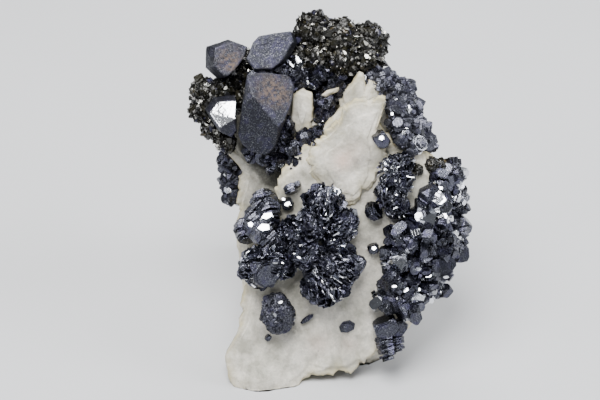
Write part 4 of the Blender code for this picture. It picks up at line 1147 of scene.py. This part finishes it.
def ridged_ball(middle, radius, bearing, seed):
    """A ball of many thin edges: a saw wave across the ball, bent by noise, stands out of its skin, and
    cells of noise break it up."""
    directions, quads = ball_grid(RIDGED_GRID)
    spine = spine_of(bearing)
    across = np.cross((0.0, 0.0, 1.0), spine)
    spot = directions * radius + middle
    bend = 1.5 * rough_noise(spot, 3.4, seed) + 0.35 * soft_noise(spot, 1.0, seed + 2)
    phase = (directions @ across * radius + 0.35 * (directions @ spine) ** 2 * radius + bend) / RIDGE_APART
    away, number = nearest_cell(spot, 1.9, seed + 4)
    bumps = radius * (0.86 + 0.10 * rough_noise(spot, 3.0, seed + 5))
    out = bumps + 0.42 * (phase - np.floor(phase)) - 0.75 * away + 0.5 * number
    edges = as_points(np.floor(phase), np.floor(number * 9)).astype(np.int64)
    marks = as_points(number, 0.55 * lattice_number(edges, seed))
    return middle + directions * out[:, None], [quads], marks


def edgewise(ways, spine, draw):
    """Turns that put a flat shape on edge: its plane holds the way out and lies near the spine, which
    wanders by the scatter. Without a spine the planes have no preferred bearing."""
    along = draw.normal(0.0, 1.0 if spine is None else LEAF_SCATTER, ways.shape)
    if spine is not None:
        along = spine + along
    normal = np.cross(ways, along) + ways * draw.normal(0.0, LEAF_LEAN, (len(ways), 1))
    normal /= np.linalg.norm(normal, axis=1, keepdims=True)
    first = np.cross(along, normal)
    first /= np.linalg.norm(first, axis=1, keepdims=True)
    return np.stack((first, np.cross(normal, first), normal), axis=2)


def leaves(lumps, outward, spacing, size, spine, draw, polish):
    """Thin ragged stacks of plates on edge, spread over balls."""
    places, ways = coating(lumps, outward, spacing, draw)
    kinds = draw.integers(0, LEAF_KINDS, len(places))
    parts = []
    for kind in range(LEAF_KINDS):
        chosen = kinds == kind
        count = int(chosen.sum())
        wide = draw.uniform(*size, count)
        deep = wide * draw.uniform(0.45, 0.85, count)
        sizes = np.stack((wide, deep, draw.uniform(0.12, 0.28, count)), axis=1)
        stack = plate_stack(draw, 2, 9, 0.70)
        turns = edgewise(ways[chosen], spine, draw)
        parts.append(repeated(stack, places[chosen], sizes, turns, draw, polish))
    return parts


# Finishes
def add_node(tree, kind, settings=None, **inputs):
    """A node with its settings, whose inputs are numbers, colours or other nodes' outputs."""
    made = tree.nodes.new(kind)
    for key, value in (settings or {}).items():
        setattr(made, key, value)
    for key, value in inputs.items():
        socket = made.inputs[key.replace("_", " ")]
        if isinstance(value, bpy.types.NodeSocket):
            tree.links.new(value, socket)
        else:
            socket.default_value = value
    return made


def blended(tree, factor, low, high):
    """Low where the factor is 0 and high where it is 1."""
    mix = tree.nodes.new("ShaderNodeMix")
    mix.data_type = "RGBA"
    for index, value in ((0, factor), (6, low), (7, high)):
        if isinstance(value, bpy.types.NodeSocket):
            tree.links.new(value, mix.inputs[index])
        else:
            mix.inputs[index].default_value = value if index == 0 else (*value, 1.0)
    return mix.outputs[2]


def ranged(tree, value, low, high, to_low=0.0, to_high=1.0):
    """The value's share of the way from low to high, drawn out between two new ends."""
    node = add_node(tree, "ShaderNodeMapRange", Value=value, From_Min=low, From_Max=high,
                    To_Min=to_low, To_Max=to_high)
    return node.outputs["Result"]


def sums(tree, operation, first, second):
    """The two values added, subtracted or multiplied, and kept from 0 to 1."""
    node = tree.nodes.new("ShaderNodeMath")
    node.operation = operation
    node.use_clamp = True
    for socket, value in zip(node.inputs, (first, second)):
        if isinstance(value, bpy.types.NodeSocket):
            tree.links.new(value, socket)
        else:
            socket.default_value = value
    return node.outputs[0]


def grain(tree, place, size, detail=3.0, roughness=0.6, stretch=None):
    """Noise whose grains are about the given size in millimetres."""
    if stretch:
        place = add_node(tree, "ShaderNodeMapping", Vector=place, Scale=stretch).outputs[0]
    node = add_node(tree, "ShaderNodeTexNoise", Vector=place, Scale=1.0 / (size * MM), Detail=detail,
                    Roughness=roughness)
    return node.outputs["Fac"]


def cells(tree, place, size, output="Distance"):
    """Cells about the given size in millimetres: the distance from each one's heart, or its colour."""
    node = add_node(tree, "ShaderNodeTexVoronoi", Vector=place, Scale=1.0 / (size * MM))
    return node.outputs[output]


def new_finish(name):
    """An empty Principled material, its shader, the object's coordinates and the four marks."""
    made = bpy.data.materials.new(name)
    made.use_nodes = True
    tree = made.node_tree
    shader = tree.nodes["Principled BSDF"]
    place = tree.nodes.new("ShaderNodeTexCoord").outputs["Object"]
    layer = add_node(tree, "ShaderNodeAttribute", {"attribute_name": "marks"})
    marks = (*add_node(tree, "ShaderNodeSeparateColor", Color=layer.outputs["Color"]).outputs,
             layer.outputs["Alpha"])
    return made, tree, shader, place, marks


def raised(tree, shader, height, strength, depth):
    """Bump on the shader's normal: strength, and depth in millimetres."""
    bump = add_node(tree, "ShaderNodeBump", Height=height, Strength=strength, Distance=depth * MM)
    tree.links.new(bump.outputs[0], shader.inputs["Normal"])


def calcite_finish(name, colours):
    """White sugary calcite: yellower at broken rims, dull grey and pink where dirty, grey to near black where
    shade is painted, with dark specks.

    The marks are the nearness to a rim, grey dirt together with painted shade, and pink dirt."""
    made, tree, shader, place, marks = new_finish(name)
    size = CALCITE_GRAINS
    cloud = ranged(tree, grain(tree, place, size["cloud"], 6.0, 0.7), 0.38, 0.62)
    white = blended(tree, cloud, colours.calcite_white, colours.calcite_cloud)
    rim = ranged(tree, grain(tree, place, size["rim"], 3.0), 0.35, 0.60, 0.35, 1.15)
    warm = blended(tree, sums(tree, "MULTIPLY", marks[0], rim), white, colours.calcite_rim)
    vein = grain(tree, place, size["vein"], 5.0, 0.7, (1.0, 1.0, 0.35))
    veined = blended(tree, ranged(tree, vein, 0.54, 0.70, 0.0, 0.30), warm, colours.calcite_grey)
    # Grey where the second mark is set, which is dirt in some spots and painted shade on the left blade and
    # down the side walls; near black where it is strongest, a painted shadow
    dirt_and_shade = ranged(tree, grain(tree, place, size["dirt_and_shade"], 5.0, 0.7), 0.24, 0.54)
    grey = blended(tree, sums(tree, "MULTIPLY", marks[1], dirt_and_shade), veined, colours.calcite_grey)
    painted_shade = blended(tree, ranged(tree, marks[1], 0.80, 1.0, 0.0, 0.72), grey, PAINTED_SHADOW_BLACK)
    blush = blended(tree, marks[2], painted_shade, colours.calcite_blush)
    speck = ranged(tree, cells(tree, place, size["speck"]), 0.03, 0.055, 1.0, 0.0)
    speckled = blended(tree, sums(tree, "MULTIPLY", speck, 0.8), blush, DARK_SPECKS)
    sugar = cells(tree, place, size["sugar"])
    fine = grain(tree, place, size["fine"], 5.0, 0.7)
    sugared = blended(tree, ranged(tree, fine, 0.46, 0.66, 0.0, 0.30), speckled, colours.calcite_cloud)
    tree.links.new(sugared, shader.inputs["Base Color"])
    height = sums(tree, "ADD", sums(tree, "MULTIPLY", sugar, 0.45), sums(tree, "MULTIPLY", fine, 0.55))
    raised(tree, shader, height, 0.6, 0.26)
    tree.links.new(ranged(tree, sugar, 0.1, 0.6, 0.30, 0.62), shader.inputs["Roughness"])
    shader.inputs["Subsurface Weight"].default_value = 0.14
    shader.inputs["Subsurface Radius"].default_value = (1.0, 0.85, 0.65)
    shader.inputs["Subsurface Scale"].default_value = 1.6 * MM
    shader.inputs["Specular IOR Level"].default_value = 0.45
    return made


def galena_finish(name, colours, rough, bright_rough, metallic, bluish, relief):
    """Lead-grey galena: a finely pitted metal with a tone and a polish of its own on each crystal.

    The marks are tone, polish, brown dust and the height that its layers follow."""
    made, tree, shader, place, marks = new_finish(name)
    size = GALENA_GRAINS
    speckle = grain(tree, place, size["pits"], 3.0, 0.7)
    patch = grain(tree, place, size["bloom"], 4.0)
    along = add_node(tree, "ShaderNodeCombineXYZ", X=marks[3]).outputs[0]
    saw = {"bands_direction": "X", "wave_profile": "SAW"}
    layers = add_node(tree, "ShaderNodeTexWave", saw, Vector=along, Scale=0.42, Distortion=4.0, Detail=3.0,
                      Detail_Scale=1.4).outputs["Fac"]
    pitted_tone = ranged(tree, speckle, 0.42, 0.62, -0.10, 0.45)
    tone = sums(tree, "ADD", sums(tree, "MULTIPLY", marks[0], 0.60), pitted_tone)
    tone = sums(tree, "MULTIPLY", tone, ranged(tree, layers, 0.0, 1.0, 0.20, 1.25))
    metal = blended(tree, tone, colours.galena_dark, colours.galena_light)
    bloom = blended(tree, ranged(tree, patch, 0.48, 0.62, 0.0, bluish), metal, BLUISH_BLOOM)
    flake = cells(tree, place, size["flakes"], "Color")
    flake = add_node(tree, "ShaderNodeSeparateColor", Color=flake).outputs[0]
    mirror = sums(tree, "ADD", ranged(tree, marks[1], 0.80, 0.95), ranged(tree, flake, 0.86, 0.99, 0.0, 0.19))
    shining = blended(tree, mirror, bloom, colours.galena_mirror)
    dusty = ranged(tree, grain(tree, place, size["dust"], 5.0, 0.7), 0.42, 0.60)
    brown = sums(tree, "MULTIPLY", marks[2], dusty)
    tree.links.new(blended(tree, brown, shining, colours.dust), shader.inputs["Base Color"])
    gloss = ranged(tree, marks[1], 0.25, 0.95, rough, bright_rough)
    worn = sums(tree, "ADD", gloss, ranged(tree, speckle, 0.35, 0.7, 0.0, 0.12))
    tree.links.new(sums(tree, "ADD", worn, sums(tree, "MULTIPLY", brown, 0.3)), shader.inputs["Roughness"])
    tree.links.new(sums(tree, "SUBTRACT", metallic, brown), shader.inputs["Metallic"])
    pitted = sums(tree, "ADD", sums(tree, "MULTIPLY", speckle, 0.4), sums(tree, "MULTIPLY", layers, 0.6))
    flat = ranged(tree, marks[1], 0.75, 0.95, 1.0, 0.05)
    raised(tree, shader, sums(tree, "MULTIPLY", pitted, flat), 0.6 + relief, 0.22 + 0.5 * relief)
    return made


def sphalerite_finish(name, colours):
    """Black-brown sphalerite: a resinous gloss with olive, brown and bluish grains, and a few metallic
    ones. The marks are tone and polish."""
    made, tree, shader, place, marks = new_finish(name)
    dark = blended(tree, ranged(tree, marks[0], 0.60, 1.0), colours.sphalerite_dark, colours.sphalerite_olive)
    brown = blended(tree, ranged(tree, marks[0], 0.97, 0.99), dark, colours.sphalerite_brown)
    blue = blended(tree, ranged(tree, marks[0], 0.06, 0.03), brown, BLUISH_GRAINS)
    mottle = ranged(tree, grain(tree, place, SPHALERITE_GRAINS["mottle"]), 0.4, 0.65, 0.0, 0.5)
    metallic = ranged(tree, marks[1], 0.84, 0.92)
    glint = blended(tree, metallic, blended(tree, mottle, blue, PITCH_BLACK), METALLIC_GLINT)
    tree.links.new(glint, shader.inputs["Base Color"])
    tree.links.new(metallic, shader.inputs["Metallic"])
    tree.links.new(ranged(tree, marks[1], 0.0, 1.0, 0.20, 0.10), shader.inputs["Roughness"])
    shader.inputs["IOR"].default_value = 1.52
    raised(tree, shader, grain(tree, place, SPHALERITE_GRAINS["pits"], 3.0, 0.7), 0.6, 0.16)
    return made


def floor_finish(colours):
    """A pale matt floor with a faint cloud in it."""
    made, tree, shader, place, _ = new_finish("Studio Floor")
    shade = ranged(tree, grain(tree, place, FLOOR_GRAIN, 2.0), 0.3, 0.7)
    clouded = blended(tree, shade, colours.floor, [0.97 * part for part in colours.floor])
    tree.links.new(clouded, shader.inputs["Base Color"])
    shader.inputs["Roughness"].default_value = 0.75
    shader.inputs["Specular IOR Level"].default_value = 0.2
    return made


def finish_of(name):
    """The finish with that name, made the first time that it is asked for."""
    colours = bpy.context.scene.specimen_colours
    if name in bpy.data.materials:
        return bpy.data.materials[name]
    if name == "White Calcite":
        return calcite_finish(name, colours)
    if name == "Black Sphalerite":
        return sphalerite_finish(name, colours)
    return galena_finish(name, colours, *GALENA_FINISHES[name])


# Settings
def colour_setting(name, default, description):
    """A colour that the user can change."""
    return bpy.props.FloatVectorProperty(name=name, description=description, default=default, size=3,
                                         min=0.0, max=1.0, subtype="COLOR")


class SpecimenColours(bpy.types.PropertyGroup):
    calcite_white: colour_setting("Calcite White", (0.76, 0.725, 0.65), "The clean middle of the blades")
    calcite_cloud: colour_setting("Calcite Cloud", (0.36, 0.35, 0.295), "Clouds in the white calcite")
    calcite_rim: colour_setting("Calcite Rim", (0.50, 0.44, 0.27), "Broken rims of the blades")
    # This grey is dirt and veins, and also painted shade on the left blade and down the blades' side walls
    calcite_grey: colour_setting("Calcite Grey", (0.17, 0.17, 0.15), "Dirt round the crystals")
    calcite_blush: colour_setting("Calcite Blush", (0.52, 0.39, 0.33), "The pink stain on the upper blade")
    galena_dark: colour_setting("Dark Galena", (0.020, 0.021, 0.028), "Darker grains of the galena")
    galena_light: colour_setting("Light Galena", (0.17, 0.175, 0.215), "Lighter grains of the galena")
    dust: colour_setting("Brown Dust", (0.125, 0.085, 0.062), "Earthy patches on the big crystals")
    sphalerite_dark: colour_setting("Dark Sphalerite", (0.004, 0.0038, 0.0032), "Most grains of the crown")
    sphalerite_olive: colour_setting("Olive Sphalerite", (0.026, 0.024, 0.014), "Paler grains of the crown")
    sphalerite_brown: colour_setting("Brown Sphalerite", (0.060, 0.044, 0.018), "A few amber grains")
    galena_mirror: colour_setting("Mirror Galena", (0.78, 0.80, 0.84), "Facets that shine")
    floor: colour_setting("Floor", (0.55, 0.56, 0.58), "The studio floor")


class SpecimenSizes(bpy.types.PropertyGroup):
    rim_break: bpy.props.FloatProperty(
        name="Broken Rim", description="How far the rims of the blades are nibbled, in millimetres",
        default=0.85, min=0.0, max=2.0)
    leaf_spacing: bpy.props.FloatProperty(
        name="Leaf Spacing", description="Distance between the rosette's leaves, in millimetres",
        default=1.15, min=0.8, max=6.0)
    block_grid: bpy.props.IntProperty(
        name="Crystal Grid", description="Squares along each side of a big crystal's grid",
        default=44, min=8, max=120)


# Operators
def spots_on(points, spots):
    """Round stains: each spot's strength times a bell of its radius, added up."""
    total = np.zeros(len(points))
    for x, y, radius, strength in spots:
        total += strength * np.exp(-((points[:, 0] - x) ** 2 + (points[:, 1] - y) ** 2) / radius**2)
    return np.clip(total, 0.0, 1.0)


def face_dirt_and_shade(name, points):
    """Grey on the face of a blade, partly dirt and partly painted shade: the common spots and its own, which
    don't reach its back.
    """
    blade = BLADES[name]
    face, thick = blade.get("at", (0.0, 0.0, 0.0))[2], blade["thickness"]
    in_front = eased(points[:, 2], face - STAIN_AND_SHADE_ENDS * thick, face - STAIN_AND_SHADE_THINS * thick)
    return spots_on(points, SOILED_AND_SHADED_SPOTS + blade.get("painted_shade", ())) * in_front


class SPECIMEN_OT_calcite(bpy.types.Operator):
    """Build the white calcite: the blades, the ribs behind and the massive part"""
    bl_idname = "specimen.calcite"
    bl_label = "Calcite"

    def execute(self, context):
        nibble = context.scene.specimen_sizes.rim_break
        for name, columns, rows, share, seed in CALCITE_PIECES:
            points, faces, yellow, crevice_shade = blade_surface(name, columns, rows, nibble * share, seed)
            points = placed_blade(name, points)
            upright = BLADES[name].get("from_base", False)
            marks = as_points(yellow, 0.0)
            if not upright:
                # The second mark is grey dirt and painted shade: the spots, and the shade painted down the
                # side walls
                marks[:, 1] = np.maximum(face_dirt_and_shade(name, points), CREVICE_SHADE * crevice_shade)
                marks[:, 2] = spots_on(points, BLUSH_SPOTS)
            keep_piece("calcite_" + name.replace(" ", "_"), points, faces, marks, "White Calcite",
                       "calcite_matrix", True, upright)
        points, faces = core_surface()
        marks = as_points(np.full(len(points), CORE_YELLOW), 0.0)
        keep_piece("calcite_core", points, faces, marks, "White Calcite", "calcite_matrix", True, True)
        return {"FINISHED"}


class SPECIMEN_OT_blocks(bpy.types.Operator):
    """Build the four big galena crystals at the upper left"""
    bl_idname = "specimen.blocks"
    bl_label = "Big Crystals"

    def execute(self, context):
        grid = context.scene.specimen_sizes.block_grid
        for index, (name, block) in enumerate(BLOCKS.items()):
            points, faces, plateau, normals = block_surface(name, grid, BLOCK_SEED + 10 * index)
            upward = normals[:, 1] * math.cos(LEAN_BACK) + normals[:, 2] * math.sin(LEAN_BACK)
            painted_top_light = block.get("painted_top_light", BLOCK_PAINTED_TOP_LIGHT)
            # Painted light: the faces that look up get a tone of their own, as if lit from above
            tone = BLOCK_TONE + 0.2 * plateau + painted_top_light * eased(upward, 0.1, 0.8)
            marks = as_points(tone, 0.25, spots_on(points, DUSTY_SPOTS) * eased(upward, 0.2, 0.5))
            # Painted highlight: only the faces turned up and out, towards the key light, get the mirror
            # colour and polish, and the rest a darker tone
            if block.get("mirror", False):
                painted_highlight = eased(normals[:, 2], 0.5, 0.7) * eased(normals[:, 1], 0.0, 0.2)
                marks = as_points(0.4 * tone, painted_highlight)
            keep_piece(name.replace("galena_block", "big_crystal"), points, faces, marks, "Dull Galena",
                       name, True)
        return {"FINISHED"}


class SPECIMEN_OT_sphalerite(bpy.types.Operator):
    """Build the sphalerite crown, the dark collar and the small sphalerite patches"""
    bl_idname = "specimen.sphalerite"
    bl_label = "Sphalerite"

    def execute(self, context):
        for name in DRUSES:
            if name.startswith("sphalerite"):
                sphalerite_druse(name)
        return {"FINISHED"}


class SPECIMEN_OT_druses(bpy.types.Operator):
    """Build the galena crusts and clusters, front and back"""
    bl_idname = "specimen.druses"
    bl_label = "Galena Crusts"

    def execute(self, context):
        for name in DRUSES:
            if name.startswith("galena"):
                galena_druse(name)
        return {"FINISHED"}


class SPECIMEN_OT_rosette(bpy.types.Operator):
    """Build the leafy rosette in the middle of the front blade"""
    bl_idname = "specimen.rosette"
    bl_label = "Rosette"

    def execute(self, context):
        draw = np.random.default_rng(ROSETTE_SEED)
        spacing = context.scene.specimen_sizes.leaf_spacing
        parts = []
        for index, (x, y, z, radius, bearing) in enumerate(LEAFY_LOBES):
            ball = (x, y, z, radius * LEAFY_SHARE)
            size = [radius * share for share in LEAF_SIZES]
            parts.append(ridged_ball((x, y, z), radius * RIDGED_SHARE, bearing, RIDGED_SEED + 10 * index))
            parts += leaves([ball], (0.0, 0.0, 1.0), spacing, size, spine_of(bearing), draw, LEAF_POLISH)
        parts = [marked(part, ROSETTE_TONE) for part in parts]
        *place, radius = ROSETTE_CRYSTAL
        spin = turned((0.5, (0.6, 0.7, 0.3)))
        crystal = one_crystal(terraced(cube_cut(0.35, 0.05)), place, radius, spin, draw)
        parts.append(marked(crystal, tone=0.35, polish=0.6))
        balls = [lobe[:4] for lobe in LEAFY_LOBES] + [ROSETTE_CRYSTAL]
        parts += shining_facets(ROSETTE_FACETS, balls, draw)
        parts += lumpy_balls([ROSETTE_KNOB], 12, seed=90)
        grained(parts, "leafy_rosette", "Mirror Galena", "galena_rosette")
        return {"FINISHED"}


def crystal_pair(draw):
    """The two grown-together crystals at the left rim: in each lump a stepped cube and a stack of plates."""
    parts = []
    for *place, radius, degrees in PAIR_LEFT:
        spin = turned((math.radians(degrees), (0.3, 0.8, 0.5)))
        stepped, stack = terraced(cube_cut(0.25, 0.05)), plate_stack(draw, 9)
        for shape, share, tilt in ((stepped, 0.74, 0.0), (stack, 0.98, 0.9)):
            part = one_crystal(shape, place, radius * share, spin @ turned((tilt, "X")), draw)
            parts.append(marked(part, tone=0.65, polish=0.5))
    parts += lumpy_balls([PAIR_ROOT], 14, seed=95)
    parts += shining_facets(PAIR_FACETS, [row[:4] for row in PAIR_LEFT], draw)
    grained(parts, "crystal_pair", "Mirror Galena", "galena_pair_left")


def barrel_crystal(draw):
    """The pitted rounded crystal: a cube with soft edges, drawn out by three shares and roughened by
    cells and noise, with small crystals on its skin."""
    *middle, radius = BARREL
    directions, quads = ball_grid(34)
    corners, _ = cube_cut(0.1)
    _, normals, depths = hull_planes(corners)
    reach, _ = cut_surface(normals @ turned((0.78, "Z"), (0.62, "X")).T, depths, directions, BARREL_SHARPNESS)
    spot = directions * radius
    away, number = nearest_cell(spot, 0.9, 97)
    rugged = 0.20 * rough_noise(spot, 1.7, 98) + 0.22 * number - 0.35 * eased(0.45 - away, 0.0, 0.3)
    out = radius * 0.76 * reach * (1.0 + 0.06 * soft_noise(spot, 3.0, 99)) + rugged
    skin = directions * out[:, None] * BARREL_SHAPE
    parts = [(skin, [quads], as_points(0.08 * number, 0.2 + 0.6 * number**4))]
    places = skin[draw.integers(0, len(skin), BARREL_GRAINS)] * 0.96
    sizes = draw.uniform(0.25, 0.75, (BARREL_GRAINS, 3))
    for shape in (cube_cut(0.3, 0.06), plate_stack(draw, 3, 7, 0.7)):
        chosen = draw.uniform(0.0, 1.0, BARREL_GRAINS) < 0.5
        turns = random_turns(draw, int(chosen.sum()))
        parts.append(repeated(shape, places[chosen], sizes[chosen], turns, draw, 0.4))
        parts[-1][2][:, 0] *= 0.10
    parts = [(points + middle, faces, marks) for points, faces, marks in parts]
    grained(parts, "barrel_crystal", "Dull Galena", "galena_barrel")


def foot_crystal(draw):
    """The bluish crystals at the foot of the flank: stepped cubes above, and below them stacks of plates
    seen on edge, on rough balls."""
    parts = []
    for *place, radius, degrees in FOOT_CRYSTAL:
        spin = turned((math.radians(degrees), "Z"), (0.35, "X"))
        sizes = (radius * 0.82, radius * 0.62, radius * 0.6)
        part = one_crystal(terraced(cube_cut(0.45, 0.05)), place, sizes, spin, draw)
        parts.append(marked(part, tone=0.35, polish=0.45))
    for *place, radius in FOOT_PLATES:
        sizes = (radius * 0.8, radius * 0.8, radius * 1.15)
        lean = turned((1.35, (0.98, 0.15, 0.1)))
        parts.append(marked(one_crystal(plate_stack(draw, 10), place, sizes, lean, draw, 0.3), tone=0.08))
    parts += lumpy_balls([(x, y, z - 0.6, radius * 0.7) for x, y, z, radius in FOOT_PLATES], 10, seed=99)
    grained(parts, "foot_crystal", "Mirror Galena", "galena_foot_crystal")


def single_crystal(name, draw):
    """A stack of plates or a stepped cube of its own, with a few small cut cubes beside it."""
    middle, half_sizes, degrees, lean, plates, beside = SINGLES[name]
    radius = max(half_sizes)
    spin = turned((math.radians(degrees), "Z"), (math.radians(lean), "X"))
    shape = plate_stack(draw, plates, 7) if plates else terraced(cube_cut(0.35, 0.08))
    parts = [one_crystal(shape, middle, half_sizes, spin, draw, 0.4)]
    places = np.array(middle) + draw.normal(0.0, 0.5 * radius, (beside, 3)) * (1.0, 1.0, 0.3)
    sizes = draw.uniform(0.2, 0.4, (beside, 1)) * radius
    parts.append(repeated(cube_cut(0.35, 0.08), places, sizes, random_turns(draw, beside), draw, 0.6))
    parts += shining_facets(SHINING.get(name, ()), [(*middle, 0.8 * radius)], draw)
    slot = "galena_matt" if "chip" in name else "galena_bright"
    grained(parts, name.replace("galena_", "crystal_"), "Mirror Galena", name, slot=slot)


class SPECIMEN_OT_singles(bpy.types.Operator):
    """Build the pair at the left rim, the barrel crystal, the foot crystal and the small single crystals"""
    bl_idname = "specimen.singles"
    bl_label = "Single Crystals"

    def execute(self, context):
        draw = np.random.default_rng(SINGLES_SEED)
        crystal_pair(draw)
        barrel_crystal(draw)
        foot_crystal(draw)
        for name in SINGLES:
            single_crystal(name, draw)
        return {"FINISHED"}


def keep_in_scene(name, data):
    """A new object in the scene with its mesh, light or camera."""
    made = bpy.data.objects.new(name, data)
    bpy.context.scene.collection.objects.link(made)
    return made


def aim(made, target, way, distance):
    """Put a light or camera at a distance from the target, looking back at it."""
    way = Vector(way).normalized()
    made.location = target + way * distance
    made.rotation_euler = way.to_track_quat("Z", "Y").to_euler()


class SPECIMEN_OT_stage(bpy.types.Operator):
    """Build the floor, the soft studio lights and the camera"""
    bl_idname = "specimen.stage"
    bl_label = "Studio"

    def execute(self, context):
        scene = context.scene
        row = FLOOR_SQUARES + 1
        steps = np.linspace(-FLOOR_REACH, FLOOR_REACH, row)
        x, y = np.meshgrid(steps, steps, indexing="ij")
        cell = (np.arange(FLOOR_SQUARES)[:, None] * row + np.arange(FLOOR_SQUARES)).ravel()
        quads = np.stack((cell, cell + row, cell + row + 1, cell + 1), axis=1)
        mesh = bpy.data.meshes.new("studio_floor")
        mesh.from_pydata(as_points(x, y, -FLOOR_DROP).reshape(-1, 3).tolist(), [], quads.tolist())
        mesh.materials.append(floor_finish(scene.specimen_colours))
        keep_in_scene("studio_floor", mesh)

        target = Vector(CAMERA_TARGET) * MM
        for name, way, distance, size, power, colour in LIGHTS:
            light = bpy.data.lights.new(name, "AREA")
            light.shape = "RECTANGLE"
            light.size, light.size_y = size
            light.energy = power
            light.color = colour
            aim(keep_in_scene(name, light), target, way, distance)

        world = bpy.data.worlds.new("Studio Air")
        world.use_nodes = True
        air = world.node_tree.nodes["Background"]
        air.inputs["Color"].default_value = AIR_COLOUR
        air.inputs["Strength"].default_value = AIR_STRENGTH
        scene.world = world

        camera = bpy.data.cameras.new("Camera")
        camera.lens = CAMERA_LENS
        camera.sensor_width = CAMERA_SENSOR
        camera.clip_start = 0.01
        scene.camera = keep_in_scene("Camera", camera)
        away = (0.0, -math.cos(CAMERA_HEIGHT), math.sin(CAMERA_HEIGHT))
        aim(scene.camera, target, away, CAMERA_DISTANCE)
        return {"FINISHED"}


class SPECIMEN_PT_panel(bpy.types.Panel):
    """The specimen's settings and its build steps"""
    bl_idname = "SPECIMEN_PT_panel"
    bl_label = "Mineral Specimen"
    bl_space_type = "VIEW_3D"
    bl_region_type = "UI"
    bl_category = "Specimen"

    def draw(self, context):
        for settings in (context.scene.specimen_sizes, context.scene.specimen_colours):
            for name in settings.__annotations__:
                self.layout.prop(settings, name)
        for operator in OPERATORS:
            self.layout.operator(operator.bl_idname)


OPERATORS = (
    SPECIMEN_OT_stage, SPECIMEN_OT_calcite, SPECIMEN_OT_blocks, SPECIMEN_OT_sphalerite,
    SPECIMEN_OT_druses, SPECIMEN_OT_rosette, SPECIMEN_OT_singles,
)
CLASSES = (SpecimenColours, SpecimenSizes, *OPERATORS, SPECIMEN_PT_panel)


def register():
    for cls in CLASSES:
        bpy.utils.register_class(cls)
    bpy.types.Scene.specimen_colours = bpy.props.PointerProperty(type=SpecimenColours)
    bpy.types.Scene.specimen_sizes = bpy.props.PointerProperty(type=SpecimenSizes)


def unregister():
    del bpy.types.Scene.specimen_sizes
    del bpy.types.Scene.specimen_colours
    for cls in reversed(CLASSES):
        bpy.utils.unregister_class(cls)


def main():
    register()
    bpy.ops.specimen.stage()
    bpy.ops.specimen.calcite()
    bpy.ops.specimen.blocks()
    bpy.ops.specimen.sphalerite()
    bpy.ops.specimen.druses()
    bpy.ops.specimen.rosette()
    bpy.ops.specimen.singles()


if __name__ == "__main__":
    main()
